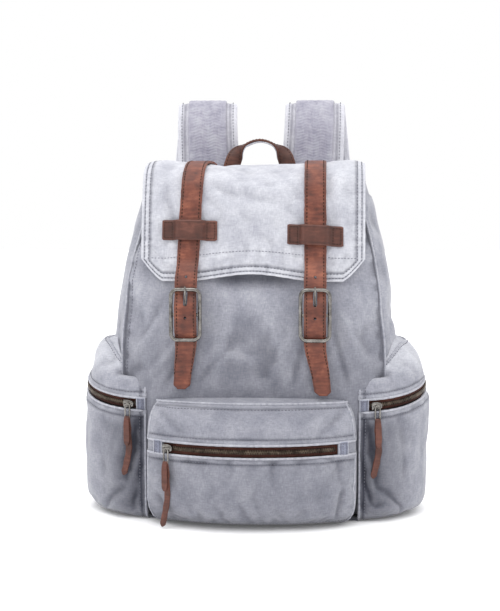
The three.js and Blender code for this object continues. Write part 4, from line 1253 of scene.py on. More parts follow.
def front_pocket_base():
    """The pocket's plan: straight ends, round corners and a long shallow bow, left to right."""
    half, radius = FRONT_HALF, FRONT_RADIUS
    a = math.asin(FRONT_ARC_HALF / radius)
    end_y = FRONT_ARC_Y - radius * math.cos(a)
    bend = end_y + (half - FRONT_ARC_HALF) * math.tan(a)
    t = np.linspace(0, 1, 15)[1:, None]
    corner = ((1 - t) ** 2 * (-half, FRONT_CORNER_Y) + 2 * t * (1 - t) * np.array((-half, bend))
              + t**2 * (-FRONT_ARC_HALF, end_y))
    swing = np.linspace(-a, a, 122)[1:-1]
    arc = np.stack([radius * np.sin(swing), FRONT_ARC_Y - radius * np.cos(swing)], axis=-1)
    return np.vstack([corner, arc, (corner * (-1, 1))[::-1]])


FRONT_BASE = front_pocket_base()
ENDS = 7  # columns of each straight end


def front_pocket_ring(z):
    """The front pocket's line at a height, from the sack round the bow and back to the sack."""
    full = fullness(z, FRONT_FOOT, FRONT_TOP, 7, 4)
    across, deep = lerp(0.78, 1, full), max(float(full), 0.08)
    x, y = FRONT_BASE[:, 0] * across, FRONT_PINCH_Y + (FRONT_BASE[:, 1] - FRONT_PINCH_Y) * deep
    edge_x = -FRONT_HALF * across
    edge_y = FRONT_PINCH_Y + (FRONT_CORNER_Y - FRONT_PINCH_Y) * deep
    wall = float(sack_front_at(np.float64(edge_x), np.float64(max(z, 2)))) + 1.2
    t = np.linspace(0, 1, ENDS + 1)[:-1]
    run = np.stack([0 * t + edge_x, lerp(wall, min(edge_y, wall), t)], axis=-1)
    ring = np.vstack([run, np.stack([x, y], axis=-1), (run * (-1, 1))[::-1]])
    ring[:, 1] = np.minimum(ring[:, 1], sack_front_at(ring[:, 0], np.float64(max(z, 2))) + 1.2)
    return np.column_stack([ring, np.full(len(ring), float(z))])


def pocket_levels(low, high, count, crowd_low, crowd_high):
    """Heights from low to high, closer together towards either end."""
    t = np.linspace(0, 1, count)
    t = t ** (1 + crowd_low) if crowd_low else t
    t = 1 - (1 - t) ** (1 + crowd_high) if crowd_high else t
    return lerp(low, high, t)


def front_relief(points, low):
    """Folds that hang from the zip's ends and the corners, and a crowned middle."""
    x, z = points[..., 0], points[..., 2]
    if low:
        out = 1.6 * ripple(x * 0.8, z, size=80, seed=61) + 0.5 * ripple(x, z * 0.6, size=27, seed=62)
        folds = [((-100, 74), (-60, 20), 8, -2.2), ((-84, 78), (-30, 34), 9, 1.8),
                 ((100, 74), (62, 22), 8, -2.0), ((82, 78), (34, 30), 9, 1.8),
                 ((-20, 60), (10, 12), 9, 1.4), ((-98, 40), (-92, 8), 6, -2.2),
                 ((98, 42), (92, 8), 6, -2.2)]
    else:
        out = 1.3 * ripple(x * 0.7, z * 1.4, size=70, seed=63) + 0.4 * ripple(x, z, size=24, seed=64)
        folds = [((-104, 128), (-66, 100), 6, -2.6), ((-92, 130), (-44, 104), 6, 2.0),
                 ((104, 128), (70, 100), 6, -2.6), ((92, 130), (50, 106), 6, 2.0),
                 ((-20, 124), (16, 102), 7, -1.1), ((-70, 122), (-20, 112), 6, 1.2)]
    return add_folds(out, x, z, folds)


def add_front_pocket():
    """The front pocket's two parts, above and below its zip."""
    centre = (0, -40, 70)
    top_z = pocket_levels(FRONT_ZIP_Z + SLOT, FRONT_TOP - 0.3, 64, 0.0, 0.9)
    low_z = pocket_levels(FRONT_FOOT, FRONT_ZIP_Z - SLOT, 84, 0.8, 0.0)
    upper = np.array([front_pocket_ring(z) for z in top_z])
    lower = np.array([front_pocket_ring(z) for z in low_z])
    floor_line = lower[0].copy()
    floor_line[:, 1] = np.minimum(floor_line[:, 1] + 60, sack_front_at(floor_line[:, 0] * 0.97,
                                                                      np.float64(3)) + 1.0)
    floor = np.array([lerp(floor_line, lower[0], t) - (0, 0, 0.4) for t in (0, 0.3, 0.6, 0.85, 0.96)])
    for name, grid, low, node in (("front_pocket_upper", upper, False, "front_pocket_top"),
                                  ("front_pocket_lower", lower, True, "front_pocket_bag")):
        normals, _ = outward(grid, centre=centre)
        cols = grid.shape[1]
        c = np.arange(cols)[None]
        z = grid[..., 2]
        free = smooth(np.minimum(c, cols - 1 - c), ENDS, ENDS + 14) * (
            smooth(z, 4, 16) * (1 - smooth(z, 74, 80)) if low
            else smooth(z, 95, 101) * (1 - smooth(z, 127, 133)))
        grid = grid + normals * (front_relief(grid, low) * free)[..., None]
        welt_z = 8 if low else 132.5
        held = (c < ENDS + 3) | (c > cols - ENDS - 4)
        held = held | (z < welt_z) | (z > 79.5) if low else held | (z > welt_z) | (z < 94.5)
        grid = settle(grid, held, push=2.2, slack=0.03, cap=4.5, centre=centre)
        if low:
            grid = np.concatenate([floor, grid])
            z = grid[..., 2]
        zip_gap = np.abs(z - FRONT_ZIP_Z) - SLOT
        wear = 0.15 * bell(zip_gap, 5) + 0.1 * bell(z - 132, 3) * (not low)
        wear = wear + 0.1 * bell(z - 7, 3) * low
        shade = 0.45 * bell(zip_gap - 6.6, 1.3) + (
            0.5 * (1 - smooth(z, 2, 16)) + 0.26 if low else 0.12 + 0.4 * bell(z - 129.6, 1.1))
        shell(name, grid, POCKET_WALL, canvas, "bag", "washed_canvas", (node,), wear=wear,
              shade=shade, centre=centre)
        add_front_trim(grid, low, centre)


def level_row(grid, z, first=0, last=None):
    """The path where a grid's columns cross a height."""
    path = []
    for column in range(grid.shape[1])[first:last]:
        line = grid[:, column]
        path.append([np.interp(z, line[:, 2], line[:, k]) for k in range(3)])
    return np.array(path)


def path_normals(path, up=(0, 0, 1)):
    """Outward normals of a level path that runs from left to right in front."""
    ahead = unit(np.gradient(path, axis=0))
    return unit(np.cross(ahead, np.broadcast_to(up, ahead.shape)))


def add_front_trim(grid, low, centre):
    """The rolled lips, welts and stitches of one part of the front pocket."""
    cols = grid.shape[1]
    side = -1 if low else 1
    edge = level_row(grid, FRONT_ZIP_Z + side * (SLOT + 0.4), ENDS + 2, cols - ENDS - 2)
    out = path_normals(edge)
    rolled("front_zip_lip_" + ("lower" if low else "upper"), edge + out * 0.4, 1.5, wear=0.3, squash=0.85)
    beyond = level_row(grid, FRONT_ZIP_Z + side * (SLOT + LIP_STITCH), ENDS + 4, cols - ENDS - 4)
    rows = [stitch_parts(beyond, path_normals(beyond))]
    if low:
        hem = level_row(grid, 7, 1, cols - 1)
        rows.append(stitch_parts(hem, path_normals(hem)))
        sewn("front_pocket_stitches_lower", rows, thread_grey, "bag", "washed_canvas")
    else:
        welt = level_row(grid, 133.2, 2, cols - 2)
        out = path_normals(welt)
        rolled("front_pocket_welt", welt + out * 0.6 + (0, 0, 0.3), 1.3, wear=0.3)
        under = level_row(grid, 128.6, ENDS, cols - ENDS)
        rows.append(stitch_parts(under, path_normals(under)))
        sewn("front_pocket_stitches_upper", rows, thread_grey, "bag", "washed_canvas")
    for end in (-1, 1):
        column = ENDS + 4 if end < 0 else cols - ENDS - 5
        path = grid[(6 if low else 1):(None if low else -12), column]
        out = outward(grid, centre=centre)[0][(6 if low else 1):(None if low else -12), column]
        part = ("lower" if low else "upper", "left" if end < 0 else "right")
        rolled("front_pocket_side_%s_%s" % part,
               path + out * 0.1, 1.1, hint=tuple(out.mean(0)), squash=0.7, wear=0.15)


SIDE_TOP, SIDE_FRONT_TOP, SIDE_FOOT, SIDE_BROW, SEAM_X = 192, 153, 1.5, 141.5, 114.5
SIDE_BACK, SIDE_RADIUS, SIDE_CENTRE = 66, 79, 112
SIDE_ROOT = 88  # half the width between the planes where the side pockets start


def side_top(a):
    """The side pocket's top edge, which climbs from its front seam."""
    return lerp(SIDE_FRONT_TOP, SIDE_TOP, smooth(a, -1.45, -0.35))


def side_zip_line(y):
    """The height of a side zip's middle line."""
    return SIDE_ZIP_Z + math.tan(SIDE_TILT) * y


def side_fullness(height, a):
    """The pocket closes over towards a top edge that rises from its front seam."""
    above = (height - SIDE_BROW) * (SIDE_TOP - SIDE_BROW) / (side_top(a) - SIDE_BROW)
    z = np.where(height > SIDE_BROW, SIDE_BROW + above, height)
    return fullness(np.minimum(z, SIDE_TOP), SIDE_FOOT, SIDE_TOP, 8, 3.2)


def side_pocket_ring(share, low):
    """The pocket's line a share of the way up its lower or upper part: out from the front seam,
    round the side, and back to the sack."""
    a = np.linspace(-1.54, 1.1, 130)
    y = SIDE_RADIUS * np.sin(a)
    root_out = SIDE_CENTRE - SIDE_ROOT
    for _ in range(3):
        edge = side_zip_line(y) + (-SLOT if low else SLOT)
        height = lerp(SIDE_FOOT, edge, share) if low else lerp(edge, side_top(a) - 0.2, share)
        full = side_fullness(height, a)
        across, depth = lerp(0.72, 1, full), lerp(0.8, 1, full)
        start_out = (SEAM_X - SIDE_ROOT) / across[0] - root_out
        first = -math.acos(min(start_out / SIDE_RADIUS, 1))
        last = math.asin(min(SIDE_BACK / (SIDE_RADIUS * depth[-1]), 1))
        a = np.linspace(first, last, 130)
        y = SIDE_RADIUS * np.sin(a) * depth
    x = SIDE_ROOT + (root_out + SIDE_RADIUS * np.cos(a)) * across
    level = max(height[0], 2.0)
    seat = float(sack_front_at(np.float64(SEAM_X), np.float64(level))) + 1.2
    t = np.linspace(0, 1, 6)[:-1]
    front = np.column_stack([0 * t + SEAM_X, lerp(max(seat, y[0]), y[0], t), 0 * t + height[0]])
    back_x = min(float(sack_side_at(np.float64(y[-1]), np.float64(max(height[-1], 2)))) - 1.2, x[-1])
    t = np.linspace(0, 1, 8)[1:]
    rear = np.column_stack([lerp(x[-1], back_x, t), 0 * t + y[-1], 0 * t + height[-1]])
    return np.vstack([front, np.column_stack([x, y, height]), rear])


def beside_zip(grid, offset, first, last):
    """The path on a side pocket's grid that keeps a distance from its zip's middle line."""
    path = []
    for column in range(first, last):
        line = grid[:, column]
        gap = line[:, 2] - side_zip_line(line[:, 1])
        path.append([np.interp(offset, gap, line[:, k]) for k in range(3)])
    return np.array(path)


def onto_sack(ring, lift):
    """The same ring drawn in to just under the sack's own cloth."""
    level = np.maximum(ring[:, 2] + lift, 2.0)
    x = np.minimum(sack_side_at(ring[:, 1], level) - 1.2, ring[:, 0])
    return np.column_stack([x, np.where(ring[:, 0] < 118, np.maximum(
        ring[:, 1], sack_front_at(ring[:, 0], level) + 1.2), ring[:, 1]), ring[:, 2] + lift])


def side_relief(girth, z, low, seed):
    """Pleats from the front seam above the zip, and long hanging folds below it."""
    if low:
        out = (1.7 * ripple(girth, z * 0.5, size=60, seed=seed)
               + 0.5 * ripple(girth, z * 0.6, size=22, seed=seed + 1))
        folds = [((8, 120), (26, 30), 7, -3.4), ((20, 122), (46, 20), 8, 2.8),
                 ((4, 70), (18, 10), 6, -2.8), ((48, 122), (60, 40), 9, -2.0),
                 ((70, 124), (74, 30), 10, 1.8), ((30, 40), (60, 8), 6, -2.0)]
    else:
        out = (1.2 * ripple(girth, z, size=48, seed=seed + 2)
               + 0.4 * ripple(girth, z, size=20, seed=seed + 3))
        folds = [((3, 158), (40, 163), 4, -6.5), ((4, 166), (44, 176), 5, 5.0),
                 ((4, 151), (34, 156), 4, 4.2),
                 ((30, 176), (70, 168), 6, -2.2), ((60, 182), (90, 160), 7, 1.8)]
    return add_folds(out, girth, z, folds)


def add_side_pocket(side, sideways, seed):
    """One side pocket's two parts, above and below its zip."""
    centre = (sideways * 120, 0, 80)
    flip = np.array((sideways, 1, 1))
    lower = np.array([side_pocket_ring(t, True) for t in pocket_levels(0, 1, 90, 0.8, 0.0)])
    upper = np.array([side_pocket_ring(t, False) for t in pocket_levels(0, 1, 56, 0.0, 0.8)])
    floor = np.array([lerp(onto_sack(lower[0], 0), lower[0], t) - (0, 0, 0.4)
                      for t in (0, 0.35, 0.7, 0.93)])
    roof = np.array([lerp(upper[-1], onto_sack(upper[-1], 5), t) for t in (0.25, 0.5, 0.75, 1)])
    for low, grid, node in ((True, lower, "side_pocket_bag_"), (False, upper, "side_pocket_top_")):
        rows, cols = grid.shape[:2]
        c = np.arange(cols)[None]
        girth = reach_along(grid[rows // 2, :, :2])[None] + 0 * grid[..., 0]
        girth = girth - girth[:, 5:6]
        z = grid[..., 2]
        normals, _ = outward(grid, centre=(120, 0, 80))
        share = np.linspace(0, 1, rows)[:, None]
        gap = np.abs(z - side_zip_line(grid[..., 1]))
        free = smooth(c, 5, 10) * (1 - smooth(c, cols - 20, cols - 9)) * (
            smooth(z, 4, 18) * smooth(gap, 9, 17) if low
            else smooth(gap, 9, 15) * (1 - smooth(share, 0.8, 1)))
        grid = grid + normals * (side_relief(girth, z, low, seed) * free)[..., None]
        held = (c < 7) | (c > cols - 10)
        held = held | ((z < 7) | (gap < 8)) if low else held | ((gap < 8) | (share > 0.94))
        grid = settle(grid, held, push=2.0, slack=0.035, cap=5, centre=(120, 0, 80))
        if low:
            grid = np.concatenate([floor, grid])
        else:
            grid = np.concatenate([grid, roof])
        z = grid[..., 2]
        zip_gap = np.abs(z - side_zip_line(grid[..., 1])) - SLOT
        wear = 0.15 * bell(zip_gap, 5) + 0.12 * bell(c - 6, 2.5)
        shade = 0.45 * bell(zip_gap - 6.6, 1.3) + 0.4 * bell(c - 9, 1.2)
        # painted highlight: the upper part grows paler towards its top, carried in the wear attribute
        wear = wear + (0 if low else 0.55) * smooth(z, 150, 175)
        if low:
            shade = shade + 0.62 * (1 - smooth(c, 10, 60)) * smooth(z, 2, 20) * (1 - smooth(z, 100, 136))
            shade = shade + 0.5 * (1 - smooth(z, 2, 16)) + 0.05
            wear = wear + 0.2 * bell(z - 8, 3)
        final = grid * flip
        shell("side_pocket_%s_%s" % ("lower" if low else "upper", side), final, POCKET_WALL, canvas,
              "bag", "washed_canvas", (node + side,), wear=np.clip(wear, 0, 1), shade=shade,
              centre=centre)
        add_side_trim(final, side, sideways, low, cols, centre)


def add_side_trim(grid, side, sideways, low, cols, centre):
    """The rolled lips, welts and stitches of one part of a side pocket."""
    part = "lower" if low else "upper"
    away = -1 if low else 1
    edge = beside_zip(grid, away * (SLOT + 0.4), 7, cols - 12)
    out = path_normals(edge) * sideways
    rolled("side_zip_lip_%s_%s" % (part, side), edge + out * 0.4, 1.5, wear=0.3, squash=0.85)
    beyond = beside_zip(grid, away * (SLOT + LIP_STITCH), 8, cols - 14)
    rows = [stitch_parts(beyond, path_normals(beyond) * sideways)]
    seam = grid[(5 if low else 1):(None if low else -4), 6]
    out = outward(grid, centre=centre)[0][(5 if low else 1):(None if low else -4), 6]
    rolled("side_pocket_seam_%s_%s" % (part, side), seam + out * 0.1, 1.1, squash=0.7,
           hint=tuple(out.mean(0)))
    beside = grid[(5 if low else 1):(None if low else -4), 10]
    out = outward(grid, centre=centre)[0][(5 if low else 1):(None if low else -4), 10]
    rows.append(stitch_parts(beside, out))
    if not low:
        brow = grid[-5, 6:cols - 12]
        out = outward(grid, centre=centre)[0][-5, 6:cols - 12]
        rolled("side_pocket_welt_" + side, brow + out * 0.2 + (0, 0, 0.2), 1.2, squash=0.8, wear=0.2)
        under = grid[-12, 8:cols - 14]
        out = outward(grid, centre=centre)[0][-12, 8:cols - 14]
        rows.append(stitch_parts(under, out))
    sewn("side_pocket_stitches_%s_%s" % (part, side), rows, thread_grey, "bag", "washed_canvas")


# ---- Zips ----
TOOTH_PITCH = 2.5  # a size 8 zip's teeth, drawn a little coarser than its own 1.8 mm


def arc_ways(angle, tilt):
    """Out from a zip's centre, along it, and up from its own sloping plane."""
    a, flat, rise = np.asarray(angle, float), math.cos(tilt), math.sin(tilt)
    out = np.stack([np.cos(a), np.sin(a) * flat, np.sin(a) * rise], axis=-1)
    along = np.stack([-np.sin(a), np.cos(a) * flat, np.cos(a) * rise], axis=-1)
    return out, along, np.array((0, -rise, flat))


def add_zip(name, centre, radius, start, end, z, replaced, tilt=0.0):
    """A woven tape with two interlocked rows of cast teeth, bent round the pocket's bow."""
    count = 90
    outs, _, above = arc_ways(np.linspace(start, end, count), tilt)
    hub = np.array((*centre, z), float)
    profile = np.array([(-1.6, -6.0), (-0.5, -6.0), (-0.5, -3.2), (-0.3, 0), (-0.5, 3.2), (-0.5, 6.0),
                        (-1.6, 6.0)])
    ring = [hub + outs * (radius + out) + above * up for out, up in profile]
    grid = np.stack(ring, axis=1)
    faces = grid_faces(count, len(profile), 0, True)
    around = list(range(len(profile)))
    faces += [around, [(count - 1) * len(profile) + i for i in around][::-1]]
    tape = place_piece(name + "_zip_ribbon", grid.reshape(-1, 3), faces, zip_cotton, "bag", "zip_tape",
                       (replaced,))
    weld(tape)
    teeth = []
    total = int(abs(end - start) * radius / TOOTH_PITCH * 2)
    head = np.array([(-0.9, -1.4), (-0.9, 1.0), (-0.55, 1.6), (0.55, 1.6), (0.9, 1.0), (0.9, -1.4)])
    for i in range(4, total - 4):
        angle = lerp(start, end, (i + 0.5) / total)
        up = 1 if i % 2 else -1
        radial, along, _ = arc_ways(angle, tilt)
        seat = hub + radial * radius - above * (up * 0.9)
        corners = []
        for out, size in ((-0.5, 1.0), (0.9, 1.0), (1.5, 0.7)):
            corners += [seat + radial * out + along * (x * size) + above * (up * h * size)
                        for x, h in head]
        corners = np.array(corners)
        polygons = grid_faces(3, 6, 0, True, up > 0)
        polygons += [list(range(6)), list(range(12, 18))[::-1]] if up > 0 else [
            list(range(6))[::-1], list(range(12, 18))]
        teeth.append((corners, polygons))
    corners, faces = merged(teeth)
    row = place_piece(name + "_zip_teeth", corners, faces, brass, "bag", "antique_brass")
    turn_out(row.data)


def seated(points, centre, radius, angle, z, tilt, upright=False):
    """Points given as out, along and up from a zip's slider; what hangs from it stays upright."""
    p = np.asarray(points, float)
    seat = np.array((*centre, z), float) + arc_ways(angle, tilt)[0] * radius
    radial, along, above = arc_ways(angle, 0 if upright else tilt)
    return seat + p[..., :1] * radial + p[..., 1:2] * along + p[..., 2:] * above


def add_pull(side, centre, radius, angle, z, length, turn, tilt=0.0):
    """A cast slider with a bridge, a stamped ring through it and a folded leather thong."""
    seat = (centre, radius, angle, z, tilt)
    outline = [(-6, -3.0), (-5.2, -4.3), (0, -4.5), (4.2, -3.4), (6, -1.6), (6, 1.6), (4.2, 3.4),
               (0, 4.5), (-5.2, 4.3), (-6, 3.0)]
    corners = []
    for out, size in ((0.4, 0.94), (0.9, 1.0), (2.4, 1.0), (3.0, 0.9)):
        corners += [(out, a * size * turn, h * size) for a, h in outline]
    body = (seated(np.array(corners), *seat),
            grid_faces(4, 10, 0, True) + [list(range(10))[::-1], list(range(30, 40))])
    bridge_line = Line([(2.6, -4.4, 0), (3.5, -3.9, 0), (4.7, -2, 0), (4.9, 0.5, 0), (4.2, 3, 0),
                        (2.7, 4.2, 0)])
    v = np.linspace(0, 1, 18)
    bridge = cord_parts(seated(bridge_line.at(v) * (1, turn, 1), *seat), 0.75, 8, hint=(0, 0, 1))
    corners, faces = merged([body, bridge])
    slider = place_piece(side + "_slider_body", corners, faces, nickel, side + "_slider",
                         "antique_brass", (side + "_zip_slider",))
    turn_out(slider.data)
    x = 0.4 + 3 + 0.4 + 0.8
    loop = rounded_loop(5.2, 16.4, 2.4, 60)
    link = np.stack([np.full(60, x), loop[:, 0], loop[:, 1] - 8.1], axis=-1)
    path = seated(link, *seat, upright=True)
    out = np.array((math.cos(angle), math.sin(angle), 0))
    wide, face = frames_along(path, out, closed=True)
    ring = sweep_corners(path, wide, face, round_section(1, 10) * (0.95, 0.8), closed=True)
    place_piece(side + "_pull_ring", *ring, nickel, side + "_pull", "antique_brass",
                (side + "_zip_tab",))
    drop = -18.5
    tail = [(4.0, 0.3, -45), (4.1, 0.4, -33), (3.9, 0.1, -24), (3.3, 0, drop + 1.6), (1.9, 0, drop + 4.3),
            (0.3, 0, drop + 1.4), (0.2, 0.4, drop - 8), (0.6, 0.9, drop - 18),
            (0.6, 1.6, drop - length * 0.5), (0.7, -1.5, drop - length * 0.78), (0.8, -5, drop - length)]
    line = Line([(x + a - 0.8, b * turn, c) for a, b, c in tail])
    v = np.linspace(0, 1, 110)
    path = seated(line.at(v), *seat, upright=True)
    ahead = unit(np.gradient(path, axis=0))
    wide = np.broadcast_to(np.array((-math.sin(angle), math.cos(angle), 0)), path.shape)
    wide = unit(wide - ahead * np.sum(wide * ahead, axis=-1, keepdims=True))
    face = np.cross(wide, ahead)
    reach = v * line.length
    ends = np.minimum(reach, line.length - reach)
    scale = np.sqrt(np.clip(ends / 3.5, 0.08, 1)) * (1 + 0.05 * ripple(reach, size=14, seed=71))
    scale *= lerp(1, 0.78, bell(reach - 32, 7))
    section = strip_section(7, 2.0, 0.8, 5)
    corners, faces = sweep_corners(path, wide, face, section, scale)
    rubbed = np.clip(0.55 * smooth(np.abs(section[:, 0]), 2.9, 3.5)[None]
                     + 0.35 * (1 - smooth(reach, 22, 34))[:, None]
                     + 0.2 * ripple(reach, size=9, seed=72)[:, None], 0, 1)
    place_piece(side + "_pull_thong", corners, faces, dark_leather, side + "_pull", "dark_leather",
                (side + "_zip_thong",), {"wear": rubbed, "hollow": rubbed * 0})


def add_end_tab(name, centre, radius, z, start, end, tall=15, lift=1.6, tilt=0.0):
    """A folded scrap of canvas sewn over the end of a zip."""
    u, w = np.meshgrid(np.linspace(0, 1, 26), np.linspace(-1, 1, 26))
    a = lerp(start, end, u)
    edge = np.minimum(np.minimum(u, 1 - u) * abs(end - start) * radius, (1 - np.abs(w)) * tall / 2)
    out = lift - 0.9 * (1 - smooth(edge, 0, 1.8)) + 0.2 * ripple(u * 20, w * 9, size=9, seed=81)
    radial, _, above = arc_ways(a, tilt)
    points = (np.array((*centre, z), float) + radial * (radius + out)[..., None]
              + above * (w * tall / 2)[..., None])
    middle = (centre[0], centre[1], z)
    shell(name, points, 1.6, dark_canvas, "bag", "washed_canvas", centre=middle,
          wear=0.6 * (1 - smooth(edge, 0.4, 1.6)), shade=0.35 * bell(edge - 2.6, 0.8))
    rows = []
    for k in (0.2, 0.42, 0.8):
        line_u = np.full(20, k)
        rows.append(stitch_parts(*row_on(points, line_u, np.linspace(0.08, 0.92, 20), centre=middle),
                                 pitch=2.8, length=1.9, width=0.7))
    sewn(name + "_stitches", rows, thread_grey, "bag", "washed_canvas")


def add_zip_surround():
    """Past both ends of the front zip its slot is closed by the pocket's own cloth."""
    ring = front_pocket_ring(FRONT_ZIP_Z)
    for name, part in (("left", ring[ring[:, 0] < -93]), ("right", ring[ring[:, 0] > 93])):
        rise = np.linspace(-1, 1, 12)[:, None, None] * (0, 0, SLOT + 1.4)
        inward = unit(np.array((0, -40, FRONT_ZIP_Z)) - part) * (1, 1, 0) * 0.9
        shell("front_zip_surround_" + name, part[None] + inward[None] + rise, 1.1, canvas, "bag",
              "washed_canvas", centre=(0, -40, FRONT_ZIP_Z), shade=0.2)


def add_zips():
    """All three zips, with their pulls and the tabs over their ends."""
    radius, arc_y = FRONT_RADIUS, FRONT_ARC_Y
    a = math.asin(FRONT_ARC_HALF / radius)
    add_zip("front", (0, arc_y), radius - 1.2, -math.pi / 2 - a, -math.pi / 2 + a, FRONT_ZIP_Z,
            "front_zip_chain")
    add_pull("front", (0, arc_y), radius + 0.4, -math.pi / 2 - a + 0.05, FRONT_ZIP_Z, 66, 1)
    add_zip_surround()
    add_end_tab("front_zip_end_right", (0, arc_y), radius, FRONT_ZIP_Z, -math.pi / 2 + a - 0.012,
                -math.pi / 2 + a + 0.055, 17)
    add_end_tab("front_zip_end_left", (0, arc_y), radius, FRONT_ZIP_Z, -math.pi / 2 - a - 0.055,
                -math.pi / 2 - a + 0.008, 17)
    for side, sideways in (("left", -1), ("right", 1)):
        start, end = math.radians(-84), math.radians(50)
        at = math.radians(-74)
        if sideways < 0:
            start, end, at = math.pi - start, math.pi - end, math.pi - at
        centre = (sideways * SIDE_CENTRE, 0)
        add_zip(side, centre, SIDE_RADIUS - 0.9, start, end, SIDE_ZIP_Z, "side_zip_chain_" + side,
                SIDE_TILT)
        add_pull(side, centre, SIDE_RADIUS + 1.1, at, SIDE_ZIP_Z, 60, 1, SIDE_TILT)
        add_end_tab("side_zip_end_" + side, centre, 80, SIDE_ZIP_Z,
                    start - sideways * 0.06, start + sideways * 0.07, 16, tilt=SIDE_TILT)


add_front_pocket()
add_side_pocket("left", -1, 91)
add_side_pocket("right", 1, 101)
add_zips()

# ---- Handle, shoulder straps and their fittings ----
handle_line = Line([(-x, y, z) for x, y, z in HANDLE_HALF] + HANDLE_HALF[-2::-1])


def handle_frames(v):
    """Places along the handle, the way out from its face, and its width's direction."""
    t = handle_line.heading(v)
    out = unit(np.stack([-t[:, 2], 0 * v, t[:, 0]], axis=-1))
    turn = (math.pi / 2 * (1 - smooth(np.abs(v - 0.5), 0.1, 0.3)))[:, None]
    ahead = np.array((0.0, 1.0, 0.0))
    face = out * np.sin(turn) - ahead * np.cos(turn)
    return handle_line.at(v), face, out * np.cos(turn) + ahead * np.sin(turn)


def add_handle():
    """Leather outside, cotton inside: sewn flat at both feet, and turned on edge for the grip."""
    v = np.linspace(0, 1, 150)
    centres, face, wide = handle_frames(v)
    reach = v * handle_line.length
    for name, lift, thick, width, material, slot, node, lumps in (
            ("handle_grip", 1.3, 2.5, HANDLE_WIDTH, handle_leather, "brown_leather",
             "handle_leather", 0.3),
            ("handle_backing", -0.9, 1.2, HANDLE_WIDTH - 0.6, strap_canvas, "cotton_webbing",
             "handle_lining", 0.15)):
        path = centres + face * (lift + lumps * 0.3 * ripple(reach, size=18, seed=111)[:, None])
        section = strip_section(width, thick, min(0.9, thick / 2), 9)
        corners, faces = sweep_corners(path, wide, face, section)
        rubbed = np.clip(0.6 * smooth(np.abs(section[:, 0]), width / 2 - 1.2, width / 2)[None]
                         + 0.25 * np.clip(ripple(reach, size=9, seed=112), 0, 1)[:, None], 0, 1)
        place_piece(name, corners, faces, material, "handle", slot, (node,),
                    {"wear": rubbed, "hollow": rubbed * 0})
    inner = np.linspace(0.03, 0.97, 300)
    centres, face, wide = handle_frames(inner)
    rows = [stitch_parts(centres + face * 2.5 + wide * s * (HANDLE_WIDTH / 2 - 2.6), face, pitch=3.8,
                         width=0.8) for s in (-1, 1)]
    sewn("handle_stitches", rows, thread_brown, "handle", "brown_leather")


def strap_normals(line, v):
    """Unit vectors out from a shoulder strap's face, square to its run."""
    t = line.heading(v)
    return unit(np.stack([0 * v, -t[:, 2], t[:, 1]], axis=-1))


def add_shoulder_strap(side, sideways):
    """A padded strap: quilted canvas over foam, with a flat bound edge."""
    line = Line([(x * sideways, y, z) for x, y, z in PAD_LINE])
    rows, cols = 170, 46
    v = np.linspace(0, 1, rows)
    normal = strap_normals(line, v)
    centre = line.at(v)
    u = even_to_ends(cols, 0.7)
    across = lerp(-1, 1, u)[None]
    half = lerp(74, 60, v)[:, None] / 2
    reach = (v * line.length)[:, None]
    edge = (1 - np.abs(across)) * half
    ends = smooth(np.minimum(reach, line.length - reach), 0, 5)
    quilt = 1 - 0.42 * bell(edge - 8.2, 1.5)
    belly = (np.sqrt(np.clip(edge / 4.5, 0, 1)) * 0.55 + 0.45 * smooth(edge, 2, 20)) * quilt
    lumps = 0.25 * ripple(reach, across * half, size=24, seed=121) * smooth(edge, 2, 10)
    puckers = 0.3 * ripple(reach + 0 * across, size=9, seed=122) * bell(edge - 8, 4)
    parts = []
    thick = 3.45 * (0.18 + 0.82 * belly * ends) + (lumps + puckers) * ends
    for face_way in (1, -1):
        level = np.zeros((rows, cols))
        grid = centre[:, None] + np.stack([across * half, level, level], axis=-1)
        lift = face_way * np.clip(thick, 0, 3.5) * smooth(edge, -0.01, 0.6)
        grid = grid + normal[:, None] * lift[..., None]
        parts.append((grid.reshape(-1, 3), grid_faces(rows, cols, 0, False, face_way > 0)))
    corners, faces = merged(parts)
    wear = np.clip(0.75 * (1 - smooth(edge, 5.0, 7.6)) + 0.1 * ripple(reach + 0 * across, size=20, seed=5)
                   + 0 * reach, 0, 1)
    shade = 0.55 * bell(edge - 8.4, 1.0) + 0 * reach
    pad = place_piece("strap_pad_" + side, corners, faces, strap_canvas, "strap_" + side,
                      "strap_canvas", ("shoulder_pad_" + side,),
                      {"wear": np.tile(wear.ravel(), 2), "hollow": np.tile(shade.ravel(), 2)})
    weld(pad)
    add_strap_face(side, line, rows)
    add_lower_strap(side, sideways, line)


